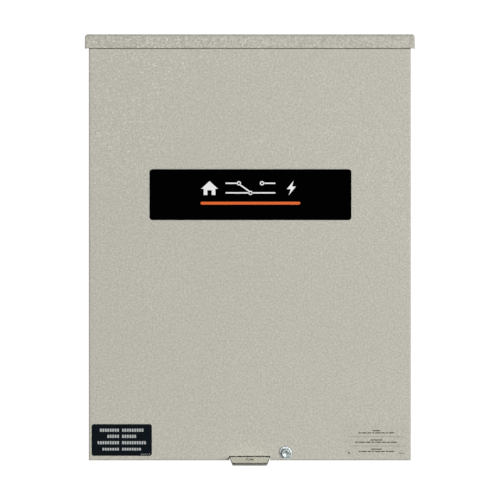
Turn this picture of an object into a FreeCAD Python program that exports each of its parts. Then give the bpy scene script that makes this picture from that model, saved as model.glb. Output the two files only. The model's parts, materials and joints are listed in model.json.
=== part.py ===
import FreeCAD, Part
import math
import os

# Wall-mounted automatic transfer switch in a rain-proof sheet steel enclosure.
# A drip hood caps the box, and a full-face cover hangs under the hood on two side pivots. Inside, a
# two-pole double-throw mechanism is driven by a double solenoid or by hand, with its controls below.
# Frame: millimetres, +Z up, the front faces -Y, the origin is on the wall at the centre of the
# four wall fixing holes.

# ---------------------------------------------------------------- driving dimensions
SHEET = 1.6                     # enclosure sheet thickness
HOOD_W = 371.0                  # overall width, over the hood
HEIGHT = 480.0                  # hood top to the cover's bottom edge
DEPTH = 180.0                   # wall to the hood's front lip
COVER_W = 363.0                 # cover width over its side flanges
LIP_H = 16.3                    # height of the hood's hanging lip
HOOD_BEND = 3.0                 # outer bend radius of the hood's sides
LIP_BEND = 5.0                  # outer bend radius where its top turns down into the front lip
SIDE_LIP_RISE = 9.0             # how much shorter the hood's side lips are behind the front lip
SIDE_LIP_RUN = 20.0             # the side lips rise by that much over this depth
FOOT_H = 5.0                    # the fixing feet hold the back wall this far off the wall
HOLE_DX = 317.5                 # wall fixing holes, centre to centre
HOLE_DZ = 437.9
HOLE_R = 4.4
FOOT_R = 17.5                   # radius of a foot where it rises from the back wall
BEND = 2.6                      # outer bend radius of the sheet
TILT = 25.0                     # degrees between the contact arms and the middle position

# ---------------------------------------------------------------- enclosure, worked out
TOP = HEIGHT / 2
BOTTOM = -HEIGHT / 2
LIP_Z = TOP - LIP_H             # bottom edge of the hood's lip
FACE_Y = -DEPTH + 3.1           # outer face of the cover, behind the lip
FACE_IN = FACE_Y + SHEET
COVER_HALF = COVER_W / 2
COVER_BACK = FACE_Y + 21.9      # rear edge of the cover's side flanges
FULL_TOP = LIP_Z + 0.5          # the cover has its full width up to here
STRIP_TOP = LIP_Z + 7.0         # narrower strip that tucks up behind the lip
STRIP_HALF = 175.0
BOX_HALF = COVER_HALF - SHEET - 1.15
BOX_IN = BOX_HALF - SHEET
BOX_TOP = TOP - SHEET
BOX_BOTTOM = BOTTOM + 2.0
BACK_IN = -FOOT_H - SHEET       # inner face of the back wall
RIM_Y = FACE_Y + 4.0            # front rim of the box
PIVOT_Y = FACE_Y + 8.0          # the cover swings about this line
PIVOT_Z = LIP_Z - 8.7
EAR_R = 5.0
PIVOT_R = 3.0
TAB_END = FACE_Y - 31.0         # front edge of the padlock tab
TAB_HALF = 22.6                 # half width of the padlock tab where it passes the cover
DOUBLER_T = 1.2                 # thickness of the plate that doubles the tab
TAB_TAPER = 3.9                 # how much narrower each side is at its front edge
PADLOCK_Y = FACE_Y - 13.6
PADLOCK_R = 5.0
SCREW_X = 40.5                  # cover screw
SCREW_Z = BOTTOM + 9.2
SCREW_R = 2.9
SCREW_HOLE_R = 3.4
COVER_HOLE_R = 3.6              # the cover's hole for the screw, under the washer
WASHER_R, WASHER_T = 7.5, 1.2
CONDUIT_X, CONDUIT_Y, CONDUIT_R = -120.0, -60.0, 11.1
KNOCKOUT_X = (-40.0, 80.0)      # conduit knockouts in the bottom wall
KNOCKOUT_Y = -95.0
KNOCKOUT_R, KNOCKOUT_DISC_R = 30.0, 22.0

# ---------------------------------------------------------------- labels on the cover
NAMEPLATE_X, NAMEPLATE_Z = (-112.8, 114.2), (30.7, 88.0)
LOAD_LABEL_X = (-178.0, -110.2)
NOTICE_LABEL_X = (107.2, 177.2)
LOW_LABELS_Z = (BOTTOM + 5.6, BOTTOM + 41.2)
DIAGRAM_X, DIAGRAM_Z = (-95.0, 95.0), (-70.0, 60.0)     # on the inside of the cover

# ---------------------------------------------------------------- mechanism, worked out
PLATE_Y = -19.6                 # front face of the mounting plate
PLATE_T = 1.6
PLATE_X = (-140.0, 146.0)
PLATE_Z = (-196.0, 200.0)
STUDS = [(x, z) for x in (-133.0, 139.0) for z in (-189.0, 193.0)]
BASE_Y = PLATE_Y - 16.0         # front face of the moulded base
BASE_X = (-72.0, 126.0)
ROTOR_Y, ROTOR_Z = -76.0, 70.0  # rotor axis, along X
POLES = (-30.5, 46.5)           # x of the two poles
WALLS = ((-72.0, -66.0), (5.0, 11.0), (82.0, 88.0))
WALL_FRONT = -152.0
ARM_R = 50.0                    # rotor axis to the contact arm's end
TIP_R = 38.0                    # rotor axis to the contact tips
ARM_HALF_W = 7.0
BUS_T = 5.0
LOAD_BUS_DZ = (16.0, 34.0)      # load buses, above and below the rotor's level
SHAFT_LEFT, SHAFT_RIGHT = -86.0, 109.0
SHAFT_R, JOURNAL_R, BUSH_R = 10.0, 6.0, 9.0
HANDLE_X = (94.0, 104.0)        # the hand lever's hub along the rotor
GRIP_END = 88.0                 # rotor axis to the front end of the grip
LUG_R = 7.5                     # wire bore of the main lugs
LUG_D = 26.0
LUG_L = 34.0
LUG_BORE_Y = BASE_Y - BUS_T - 12.0
LUG_DZ = 80.5                   # line lugs, above and below the rotor's level
LOAD_LUG_X = 107.0
CRANK_R = 20.0                  # rotor axis to the crank pin
PLUNGER_X, PLUNGER_Y = -108.0, ROTOR_Y + 19.0
PLUNGER_TRAVEL = 2 * CRANK_R * math.sin(math.radians(TILT))
BUTTON_TRAVEL = 2.0
FRAME_X = (-130.0, -88.0)
COIL_DZ = (23.0, 69.0)          # each coil, from the rotor's level
COIL_LEAD_X = -132.0            # left face of the coils' terminals
CORE_R, CORE_BORE_R = 8.0, 8.6  # the plunger's core, and the bore that it slides in
SWITCH_Y = -86.0                # axis of the limit switches' buttons
GAP = 0.3                       # air between faces of different moving bodies

# ---------------------------------------------------------------- control parts and wiring
BOARD_X = (-20.0, 132.0)
BOARD_Z = (-184.0, -84.0)
BOARD_Y = PLATE_Y - 13.4        # back face of the circuit board
BOARD_T = 1.6
WAY = 5.0                       # pitch of the board's terminals
RELAY_X, RELAY_Z = -54.0, -112.0
RELAY_STEP = PLATE_Y - 12       # seat of the socket's screws
RELAY_ROW = 30.5                # screw rows above and below the relay
RELAY_WAYS = [RELAY_X - 12.75 + 8.5 * k for k in range(4)]
FUSE_X = (-124.0, -108.0, -92.0)
FUSE_Z = (-104.0, -68.0)
FUSE_R = 5.1
FUSE_SEAT = PLATE_Y - 10
FUSE_SCREW_Z = (-110.5, -61.5)
STRIP_WAYS = [-121.3 + 15.3 * k for k in range(6)]
STRIP_SEAT = PLATE_Y - 9
STRIP_SCREW_Z = (-171.0, -161.0)
NEUTRAL_X = (-124.0, -106.0, -88.0)
NEUTRAL_Z = (150.0, 180.0)
NEUTRAL_Y = PLATE_Y - 25.0      # axis of the neutral block's wire bores
NEUTRAL_R = 6.5
BAR_X, BAR_Z = (-169.0, -155.0), (-150.0, -54.0)        # ground bar
BAR_T = 11.0
WIRE_R = 1.25
WIRE_BEND = 16.0
LANE = 3.5                      # spacing of wires that run side by side
GUTTER_X = -145.5               # innermost wire of the left gutter
FRONT_LAYER, REAR_LAYER = -45.0, -38.0
BOARD_WAYS = [-9.5 + WAY * k for k in range(6)]

X = FreeCAD.Vector(1, 0, 0)
Y = FreeCAD.Vector(0, 1, 0)
Z = FreeCAD.Vector(0, 0, 1)
nodes = {}


# ---------------------------------------------------------------- helpers
def at(x, y, z):
    return FreeCAD.Vector(x, y, z)


def box(x0, x1, y0, y1, z0, z1):
    return Part.makeBox(x1 - x0, y1 - y0, z1 - z0, at(x0, y0, z0))


def rod(r, start, end):
    return Part.makeCylinder(r, (end - start).Length, start, end - start)


def ring(r_out, r_in, start, end):
    return rod(r_out, start, end).cut(rod(r_in, start, end))


def prism(points, sweep):
    return Part.Face(Part.makePolygon(points + points[:1])).extrude(sweep)


def prism_x(yz, x0, x1):
    return prism([at(x0, y, z) for y, z in yz], at(x1 - x0, 0, 0))


def prism_z(xy, z0, z1):
    return prism([at(x, y, z0) for x, y in xy], at(0, 0, z1 - z0))


def hexagon(across_flats, start, end, direction_u, direction_v):
    r = across_flats / math.sqrt(3)
    angles = [math.radians(60 * k) for k in range(6)]
    points = [start + direction_u * (r * math.cos(a)) + direction_v * (r * math.sin(a)) for a in angles]
    return prism(points, end - start)


def fuse(first, *others):
    return first.multiFuse(list(others)).removeSplitter()


def edges_along(shape, axis):
    return [e for e in shape.Edges if abs(e.tangentAt(e.FirstParameter).dot(axis)) > 0.999]


def rounded(shape, axis, r):
    """Rounds every edge that runs along one axis."""
    return shape.makeFillet(r, edges_along(shape, axis))


def bent(shape, r, open_planes, seams=None):
    """Rounds a box's edges, apart from those on its open planes, given as (axis, offset).

    Edges along the seams' axis stay square, as where two flanges are welded and ground.
    """
    square = edges_along(shape, seams) if seams else []
    kept = []
    for edge in shape.Edges:
        middle = edge.CenterOfMass
        is_open = any(abs(middle.dot(axis) - offset) < 0.01 for axis, offset in open_planes)
        if not is_open and not any(edge.isSame(other) for other in square):
            kept.append(edge)
    return shape.makeFillet(r, kept)


def mirror_x(shape):
    return shape.mirror(at(0, 0, 0), X)


def mirror_rotor(shape):
    """Mirrors a utility-side shape into its generator-side twin, about the rotor's level."""
    return shape.mirror(at(0, 0, ROTOR_Z), Z)


def tilted(shape, degrees):
    """Turns a shape about the rotor's axis."""
    turned = shape.copy()
    turned.rotate(at(0, ROTOR_Y, ROTOR_Z), X, degrees)
    return turned


def strap(yz, thickness, x0, x1):
    """Flat bar bent along a line in the YZ plane, with round bends."""
    pieces = []
    for (y0, z0), (y1, z1) in zip(yz, yz[1:]):
        length = math.hypot(y1 - y0, z1 - z0)
        angle = math.degrees(math.atan2(z1 - z0, y1 - y0))
        bar = box(x0, x1, 0, length, -thickness / 2, thickness / 2)
        bar.rotate(at(0, 0, 0), X, angle)
        bar.translate(at(0, y0, z0))
        pieces.append(bar)
    for y, z in yz[1:-1]:
        pieces.append(rod(thickness / 2, at(x0, y, z), at(x1, y, z)))
    return fuse(pieces[0], *pieces[1:])


def wire_path(points):
    """Straight runs joined by tangent arcs, each as large as its two runs allow."""
    edges, here = [], points[0]
    for before, corner, after in zip(points, points[1:], points[2:]):
        u, v = (before - corner).normalize(), (after - corner).normalize()
        turn = math.pi - u.getAngle(v)
        shorter = min((before - corner).Length, (after - corner).Length)
        radius = 0.45 * shorter / math.tan(turn / 2)
        radius = min(radius, WIRE_BEND)
        back = radius * math.tan(turn / 2)
        inwards = (u + v).normalize()
        centre = corner + inwards * (radius / math.cos(turn / 2))
        enter, leave = corner + u * back, corner + v * back
        edges.append(Part.LineSegment(here, enter).toShape())
        edges.append(Part.Arc(enter, centre - inwards * radius, leave).toShape())
        here = leave
    edges.append(Part.LineSegment(here, points[-1]).toShape())
    return Part.Wire(edges)


def insulated_wire(points, r):
    path = wire_path(points)
    profile = Part.Wire(Part.makeCircle(r, points[0], points[1] - points[0]))
    solid = path.makePipeShell([profile], True, False)
    expected = math.pi * r * r * path.Length
    if abs(solid.Volume - expected) > 0.02 * expected:
        print("wire volume is off:", solid.Volume, expected)
    return solid


def screw_head(x, y, z, r):
    """Slotted screw head standing on a surface at y, facing forward."""
    height = 0.6 * r
    head = rod(r, at(x, y, z), at(x, y - height, z))
    return head.cut(box(x - r - 1, x + r + 1, y - height - 1, y - height + 0.8, z - 0.45, z + 0.45))


def save(name, *solids):
    """Adds solids to a named part; a part's solids stay separate."""
    nodes.setdefault(name, []).extend(solids)


def export():
    os.makedirs("parts", exist_ok=True)
    for name, solids in nodes.items():
        shape = Part.makeCompound(solids) if len(solids) > 1 else solids[0]
        if not shape.isValid() or min(solid.Volume for solid in shape.Solids) <= 0:
            print("bad shape:", name)
        shape.exportStep(os.path.join("parts", name + ".step"))
    print(len(nodes), "parts")


# ---------------------------------------------------------------- enclosure
def side_wall_top(x0, x1):
    """Ear that carries the cover's pivot, and the wall behind it."""
    wall = box(x0, x1, PIVOT_Y, RIM_Y + 20, PIVOT_Z - 6, PIVOT_Z + EAR_R)
    return wall.fuse(rod(EAR_R, at(x0, PIVOT_Y, PIVOT_Z), at(x1, PIVOT_Y, PIVOT_Z)))


def foot_positions():
    return [(sx * HOLE_DX / 2, sz * HOLE_DZ / 2) for sx in (-1, 1) for sz in (-1, 1)]


def enclosure_body():
    front = (Y, RIM_Y)
    shell = bent(box(-BOX_HALF, BOX_HALF, RIM_Y, -FOOT_H, BOX_BOTTOM, BOX_TOP), BEND, [front])
    hollow = box(-BOX_IN, BOX_IN, RIM_Y, BACK_IN, BOX_BOTTOM + SHEET, BOX_TOP - SHEET)
    shell = shell.cut(bent(hollow, BEND - SHEET, [front]))
    # the side walls step back above the pivots, so the cover's top edge has room to swing
    notch = box(BOX_IN - 0.5, BOX_HALF + 1, RIM_Y - 5, PIVOT_Y + 13, PIVOT_Z, BOX_TOP - SHEET)
    ear = side_wall_top(BOX_IN, BOX_HALF)
    shell = shell.cut(notch.fuse(mirror_x(notch))).multiFuse([ear, mirror_x(ear)])
    # inward returns that stiffen the opening
    ret_y0, ret_y1 = RIM_Y, RIM_Y + SHEET
    side = box(BOX_IN - 12, BOX_IN + 0.2, ret_y0, ret_y1, BOX_BOTTOM + 1, PIVOT_Z - 18)
    lip = box(-BOX_IN, BOX_IN, ret_y0, ret_y1, BOX_BOTTOM + 1, BOX_BOTTOM + 19)
    top_lip = box(-BOX_IN, BOX_IN, ret_y0, ret_y1, BOX_TOP - 5, BOX_TOP - 1)
    shell = shell.multiFuse([side, mirror_x(side), lip, top_lip])
    shell = shell.cut(box(-24.5, 24.5, ret_y0 - 1, ret_y1 + 1, BOX_BOTTOM + SHEET, BOX_BOTTOM + 20))
    # padlock tab, in one piece with the bottom wall
    shell = shell.fuse(tab_plate(RIM_Y + 6, BOX_BOTTOM, BOX_BOTTOM + SHEET))
    # pressed feet round the fixing holes
    for x, z in foot_positions():
        foot = Part.makeCone(FOOT_R, FOOT_R - 4, FOOT_H + SHEET, at(x, BACK_IN, z), Y)
        dish = Part.makeCone(FOOT_R - SHEET, FOOT_R - 4 - SHEET, FOOT_H, at(x, BACK_IN, z), Y)
        shell = shell.fuse(foot).cut(dish).cut(rod(HOLE_R, at(x, -9, z), at(x, 2, z)))
    holes = [rod(KNOCKOUT_R, at(x, KNOCKOUT_Y, BOX_BOTTOM - 2), at(x, KNOCKOUT_Y, BOX_BOTTOM + 3))
             for x in KNOCKOUT_X]
    holes.append(rod(CONDUIT_R, at(CONDUIT_X, CONDUIT_Y, BOX_BOTTOM - 2),
                     at(CONDUIT_X, CONDUIT_Y, BOX_BOTTOM + 3)))
    holes.append(rod(SCREW_HOLE_R, at(SCREW_X, RIM_Y - 2, SCREW_Z), at(SCREW_X, RIM_Y + 4, SCREW_Z)))
    holes.append(rod(PADLOCK_R, at(0, PADLOCK_Y, BOX_BOTTOM - 2), at(0, PADLOCK_Y, BOX_BOTTOM + 3)))
    pin = rod(PIVOT_R + 0.05, at(-BOX_HALF - 1, PIVOT_Y, PIVOT_Z), at(BOX_HALF + 1, PIVOT_Y, PIVOT_Z))
    holes.append(pin)
    save("enclosure_body", shell.cut(holes[0].multiFuse(holes[1:])).removeSplitter())


def knockout_slugs():
    """Ring and disc of each conduit knockout, held by two small ties each."""
    z0, z1 = BOX_BOTTOM, BOX_BOTTOM + SHEET
    solids = []
    for x in KNOCKOUT_X:
        low, high = at(x, KNOCKOUT_Y, z0), at(x, KNOCKOUT_Y, z1)
        whole = rod(KNOCKOUT_R, low, high)
        tie = box(x - 1.5, x + 1.5, KNOCKOUT_Y - 40, KNOCKOUT_Y + 40, z0, z1)
        cross_tie = box(x - 40, x + 40, KNOCKOUT_Y - 1.5, KNOCKOUT_Y + 1.5, z0, z1)
        disc, groove = rod(KNOCKOUT_DISC_R, low, high), KNOCKOUT_DISC_R + 0.4
        inner = disc.fuse(tie.common(rod(groove, low, high)))
        outer = ring(KNOCKOUT_R - 0.4, groove, low, high)
        outer = outer.fuse(cross_tie.common(whole).cut(rod(KNOCKOUT_DISC_R + 2, low, high)))
        solids += [inner.removeSplitter(), outer.removeSplitter()]
    save("knockout_slugs", *solids)


def tab_plate(back_y, z0, z1):
    """Padlock tab outline: slightly tapered, with rounded front corners."""
    outline = [(-TAB_HALF, back_y), (TAB_HALF, back_y), (TAB_HALF, FACE_Y + 2),
               (TAB_HALF - TAB_TAPER, TAB_END), (-TAB_HALF + TAB_TAPER, TAB_END), (-TAB_HALF, FACE_Y + 2)]
    plate = prism_z(outline, z0, z1)
    corners = [e for e in edges_along(plate, Z) if abs(e.CenterOfMass.y - TAB_END) < 0.1]
    return plate.makeFillet(2.5, corners)


def hasp_plate():
    """Welded doubler that thickens the padlock tab."""
    z0 = BOX_BOTTOM + SHEET
    plate = tab_plate(RIM_Y + 26, z0, z0 + DOUBLER_T)
    hole = rod(PADLOCK_R, at(0, PADLOCK_Y, z0 - 1), at(0, PADLOCK_Y, z0 + 3))
    save("hasp_plate", plate.cut(hole))


def hood_form(inset):
    """Solid form of the hood's outside, or of its inside when inset by the sheet's thickness."""
    half, front, top = HOOD_W / 2 - inset, -DEPTH + inset, TOP - inset
    form = box(-half, half, front, -FOOT_H, LIP_Z, top)
    nose = [e for e in edges_along(form, X)
            if e.CenterOfMass.y < front + 0.1 and e.CenterOfMass.z > top - 0.1]
    form = form.makeFillet(LIP_BEND - inset, nose)
    sides = [e for e in form.Edges if abs(abs(e.CenterOfMass.x) - half) < 0.01
             and e.CenterOfMass.z > LIP_Z + 0.1 and e.CenterOfMass.y < -FOOT_H - 0.1]
    return form.makeFillet(HOOD_BEND - inset, sides)


def drip_hood():
    """Cap over the box; its side lips rise behind the front lip, so water drips off in front."""
    half = HOOD_W / 2
    hood = hood_form(0.0).cut(hood_form(SHEET))
    start, end = -DEPTH + HOOD_BEND, -DEPTH + HOOD_BEND + SIDE_LIP_RUN
    below = [(start, LIP_Z - 1), (start, LIP_Z), (end, LIP_Z + SIDE_LIP_RISE),
             (0, LIP_Z + SIDE_LIP_RISE), (0, LIP_Z - 1)]
    save("drip_hood", hood.cut(prism_x(below, -half - 1, half + 1)))


def front_cover():
    planes = [(Y, COVER_BACK), (Z, FULL_TOP)]
    outer = bent(box(-COVER_HALF, COVER_HALF, FACE_Y, COVER_BACK, BOTTOM, FULL_TOP), BEND, planes, seams=Y)
    inner_half = COVER_HALF - SHEET
    hollow = box(-inner_half, inner_half, FACE_IN, COVER_BACK, BOTTOM + SHEET, FULL_TOP)
    pan = outer.cut(bent(hollow, BEND - SHEET, planes, seams=Y))
    pan = pan.fuse(box(-STRIP_HALF, STRIP_HALF, FACE_Y, FACE_IN, FULL_TOP - 1, STRIP_TOP))
    # notch that lets the padlock tab through
    notch_top = BOX_BOTTOM + SHEET + DOUBLER_T + 0.7
    notch_half = TAB_HALF + 0.5
    notch = box(-notch_half, notch_half, FACE_Y - 2, COVER_BACK + 2, BOTTOM - 1, notch_top)
    screw_hole = rod(COVER_HOLE_R, at(SCREW_X, FACE_Y - 2, SCREW_Z), at(SCREW_X, FACE_IN + 2, SCREW_Z))
    pivots = rod(PIVOT_R, at(-COVER_HALF - 1, PIVOT_Y, PIVOT_Z), at(COVER_HALF + 1, PIVOT_Y, PIVOT_Z))
    save("front_cover", pan.cut(notch.multiFuse([screw_hole, pivots])).removeSplitter())


def cover_pivot_studs():
    """Studs fixed flush in the cover's side flanges, each with a retaining clip inside the box."""
    stud = rod(PIVOT_R, at(BOX_IN - 4, PIVOT_Y, PIVOT_Z), at(COVER_HALF, PIVOT_Y, PIVOT_Z))
    clip = rod(4.6, at(BOX_IN - GAP - 1, PIVOT_Y, PIVOT_Z), at(BOX_IN - GAP, PIVOT_Y, PIVOT_Z))
    stud = stud.fuse(clip).removeSplitter()
    save("cover_pivot_studs", stud, mirror_x(stud))


def face_label(x_range, z_range, corner, thickness):
    return rounded(box(*x_range, FACE_Y - thickness, FACE_Y, *z_range), Y, corner)


def cover_labels():
    save("nameplate", face_label(NAMEPLATE_X, NAMEPLATE_Z, corner=3.4, thickness=0.4))
    save("load_label", face_label(LOAD_LABEL_X, LOW_LABELS_Z, corner=2.6, thickness=0.25))
    save("notice_label", face_label(NOTICE_LABEL_X, LOW_LABELS_Z, corner=1.2, thickness=0.2))
    diagram = box(*DIAGRAM_X, FACE_IN, FACE_IN + 0.25, *DIAGRAM_Z)
    save("wiring_diagram_label", rounded(diagram, Y, 3.0))


def cover_screw():
    washer_front = FACE_Y - WASHER_T
    low, high = at(SCREW_X, washer_front, SCREW_Z), at(SCREW_X, FACE_Y, SCREW_Z)
    washer = ring(WASHER_R, SCREW_R + 0.1, low, high)
    rim = [e for e in washer.Edges if abs(e.CenterOfMass.y - washer_front) < 0.01 and e.Length > 40]
    save("screw_washer", washer.makeChamfer(0.5, rim))
    seat, crown = at(SCREW_X, washer_front - 0.05, SCREW_Z), at(SCREW_X, washer_front - 5.3, SCREW_Z)
    head = hexagon(10.2, seat, crown, X, Z)
    dome = Part.makeCone(9.6, 4.6, 5.3, seat + Y * 0.05, Y * -1)
    head = head.common(dome)
    slot = box(SCREW_X - 0.7, SCREW_X + 0.7, crown.y - 1, crown.y + 1.6, SCREW_Z - 3.4, SCREW_Z + 3.4)
    cross = box(SCREW_X - 3.4, SCREW_X + 3.4, crown.y - 1, crown.y + 1.6, SCREW_Z - 0.7, SCREW_Z + 0.7)
    shank = rod(SCREW_R, seat, at(SCREW_X, FACE_Y + 15.5, SCREW_Z))
    save("cover_screw", head.cut(slot.fuse(cross)).fuse(shank).removeSplitter())
    nut_low, nut_high = at(SCREW_X, RIM_Y + SHEET, SCREW_Z), at(SCREW_X, RIM_Y + 6.6, SCREW_Z)
    nut = hexagon(10.4, nut_low, nut_high, X, Z).cut(rod(SCREW_HOLE_R, nut_low, nut_high))
    save("cover_nut", nut)


# ---------------------------------------------------------------- mounting plate
def mounting_plate():
    plate = box(*PLATE_X, PLATE_Y, PLATE_Y + PLATE_T, *PLATE_Z)
    plate = rounded(plate, Y, 6.0)
    holes = [rod(3.3, at(x, PLATE_Y - 1, z), at(x, PLATE_Y + 4, z)) for x, z in STUDS]
    save("mounting_plate", plate.cut(holes[0].multiFuse(holes[1:])))
    spacers, studs, nuts = [], [], []
    for x, z in STUDS:
        spacers.append(ring(6.0, 3.05, at(x, BACK_IN, z), at(x, PLATE_Y + PLATE_T, z)))
        studs.append(rod(3.0, at(x, BACK_IN, z), at(x, PLATE_Y - 8, z)))
        nuts.append(hexagon(10, at(x, PLATE_Y, z), at(x, PLATE_Y - 5, z), X, Z)
                    .cut(rod(3.0, at(x, PLATE_Y + 1, z), at(x, PLATE_Y - 6, z))))
    save("plate_standoffs", *spacers)
    save("plate_standoffs", *studs)
    save("plate_fasteners", *nuts)


# ---------------------------------------------------------------- transfer mechanism
def mech_base():
    """Moulded base with three walls that part the poles and carry the rotor."""
    base = rounded(box(*BASE_X, BASE_Y, PLATE_Y, ROTOR_Z - 100, ROTOR_Z + 100), Y, 5.0)
    profile = [(BASE_Y + 1, -99), (BASE_Y + 1, 99), (-72, 99), (-84, 64), (WALL_FRONT, 56),
               (WALL_FRONT, -56), (-84, -64), (-72, -99)]
    walls = [prism_x([(y, ROTOR_Z + dz) for y, dz in profile], x0, x1) for x0, x1 in WALLS]
    body = base.multiFuse(walls)
    low, high = LOAD_BUS_DZ
    cuts = []
    for z0, z1 in ((ROTOR_Z + low, ROTOR_Z + high), (ROTOR_Z - high, ROTOR_Z - low)):
        cuts.append(box(WALLS[1][0] - 1, BASE_X[1] - 38, BASE_Y - BUS_T - 0.4, BASE_Y, z0 - 0.4, z1 + 0.4))
    axis_from, axis_to = at(BASE_X[0] - 1, ROTOR_Y, ROTOR_Z), at(WALLS[2][1] + 1, ROTOR_Y, ROTOR_Z)
    cuts.append(rod(BUSH_R, axis_from, axis_to))
    middle = WALLS[1]
    cuts.append(rod(12.5, at(middle[0] - 1, ROTOR_Y, ROTOR_Z), at(middle[1] + 1, ROTOR_Y, ROTOR_Z)))
    save("mech_base", body.cut(cuts[0].multiFuse(cuts[1:])).removeSplitter())
    heads = []
    for x in (-56.0, 116.0):
        for dz in (-91.0, 91.0):
            z = ROTOR_Z + dz
            head = rod(4.2, at(x, BASE_Y, z), at(x, BASE_Y - 3.4, z))
            heads.append(head.cut(hexagon(4.0, at(x, BASE_Y - 1.4, z), at(x, BASE_Y - 4, z), X, Z)))
    save("plate_fasteners", *heads)


def bearing_bushes():
    bushes = []
    for x0, x1 in (WALLS[0], WALLS[2]):
        low, high = at(x0, ROTOR_Y, ROTOR_Z), at(x1, ROTOR_Y, ROTOR_Z)
        bushes.append(ring(BUSH_R, JOURNAL_R + 0.05, low, high))
    save("bearing_bushes", *bushes)


def rotor():
    inner_left, inner_right = WALLS[0][1] + GAP, WALLS[2][0] - GAP
    core = rod(SHAFT_R, at(inner_left, ROTOR_Y, ROTOR_Z), at(inner_right, ROTOR_Y, ROTOR_Z))
    journal = rod(JOURNAL_R, at(SHAFT_LEFT, ROTOR_Y, ROTOR_Z), at(SHAFT_RIGHT, ROTOR_Y, ROTOR_Z))
    save("rotor_shaft", core.fuse(journal).removeSplitter())
    arms, tips = [], []
    for x in POLES:
        hub = ring(16.0, SHAFT_R, at(x - ARM_HALF_W, ROTOR_Y, ROTOR_Z), at(x + ARM_HALF_W, ROTOR_Y, ROTOR_Z))
        blade = box(x - ARM_HALF_W, x + ARM_HALF_W, ROTOR_Y - ARM_R, ROTOR_Y - 13, ROTOR_Z - 3, ROTOR_Z + 3)
        blade = rounded(blade, Z, 2.5)
        arms.append(tilted(fuse(hub, blade), -TILT))
        for sign in (-1, 1):
            face = at(x, ROTOR_Y - TIP_R, ROTOR_Z + 3 * sign)
            tips.append(tilted(rod(6.0, face, face + Z * (2 * sign)), -TILT))
    save("contact_arms", *arms)
    save("moving_contact_tips", *tips)
    # crank on the left end of the shaft, its pin reaching into the plunger's yoke
    x0, x1 = SHAFT_LEFT + 1, SHAFT_LEFT + 7
    plate = rod(12.0, at(x0, ROTOR_Y, ROTOR_Z), at(x1, ROTOR_Y, ROTOR_Z))
    end = rod(6.5, at(x0, ROTOR_Y + CRANK_R, ROTOR_Z), at(x1, ROTOR_Y + CRANK_R, ROTOR_Z))
    web = prism_x([(ROTOR_Y, ROTOR_Z + 11.9), (ROTOR_Y + CRANK_R, ROTOR_Z + 6.4),
                   (ROTOR_Y + CRANK_R, ROTOR_Z - 6.4), (ROTOR_Y, ROTOR_Z - 11.9)], x0, x1)
    pin = rod(3.0, at(PLUNGER_X + 3, ROTOR_Y + CRANK_R, ROTOR_Z), at(x1 + 1.5, ROTOR_Y + CRANK_R, ROTOR_Z))
    shaft_hole = rod(JOURNAL_R, at(x0 - 1, ROTOR_Y, ROTOR_Z), at(x1 + 1, ROTOR_Y, ROTOR_Z))
    save("rotor_crank", tilted(fuse(plate, end, web, pin).cut(shaft_hole), -TILT))


def handle():
    """Hand lever on the right end of the shaft: up for utility, down for generator."""
    x0, x1 = HANDLE_X
    hub = rod(12.0, at(x0, ROTOR_Y, ROTOR_Z), at(x1, ROTOR_Y, ROTOR_Z))
    blade = box(x0 + 2, x1 - 2, ROTOR_Y - 60, ROTOR_Y, ROTOR_Z - 7, ROTOR_Z + 7)
    bore = rod(JOURNAL_R, at(x0 - 1, ROTOR_Y, ROTOR_Z), at(x1 + 1, ROTOR_Y, ROTOR_Z))
    lever = fuse(hub, blade).cut(bore)
    save("handle_lever", tilted(lever, -TILT))
    mid = (x0 + x1) / 2
    front = ROTOR_Y - GRIP_END
    grip = rounded(box(mid - 9, mid + 9, front, ROTOR_Y - 42, ROTOR_Z - 11, ROTOR_Z + 11), Y, 5.0)
    grip = grip.makeFillet(2.0, [e for e in grip.Edges if abs(e.CenterOfMass.y - front) < 0.1]).cut(blade)
    save("handle_grip", tilted(grip, -TILT))


def fixed_contact(x):
    """Utility-side contact: from its lug, a strap loops forward and lies over the contact arm's tip."""
    a = math.radians(TILT)
    along, normal = (-math.cos(a), math.sin(a)), (math.sin(a), math.cos(a))
    tip = (TIP_R * along[0], TIP_R * along[1])
    thick = 4.0
    offset = 3 + 2 + GAP + 2            # half arm, moving tip, air, fixed tip
    middle = [tip[k] + (offset + thick / 2) * normal[k] for k in (0, 1)]
    inner_end = [middle[k] - 9 * along[k] for k in (0, 1)]
    outer_end = [middle[k] + 8 * along[k] for k in (0, 1)]
    riser_y = BASE_Y - BUS_T / 2 - ROTOR_Y
    line = [inner_end, outer_end, (-43.0, 54.0), (riser_y, 54.0)]
    loop = strap([(ROTOR_Y + y, ROTOR_Z + z) for y, z in line], thick, x - 8, x + 8)
    riser = box(x - 8, x + 8, BASE_Y - BUS_T, BASE_Y, ROTOR_Z + 52, ROTOR_Z + 98)
    start = [tip[k] + (offset - 2) * normal[k] for k in (0, 1)]
    low = at(x, ROTOR_Y + start[0], ROTOR_Z + start[1])
    pad = rod(6.0, low, low + at(0, 2 * normal[0], 2 * normal[1]))
    return fuse(loop, riser), pad


def fixed_contacts():
    straps, pads = zip(*[fixed_contact(x) for x in POLES])
    save("utility_contacts", *straps)
    save("generator_contacts", *[mirror_rotor(s) for s in straps])
    save("fixed_contact_tips", *pads, *[mirror_rotor(p) for p in pads])


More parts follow.
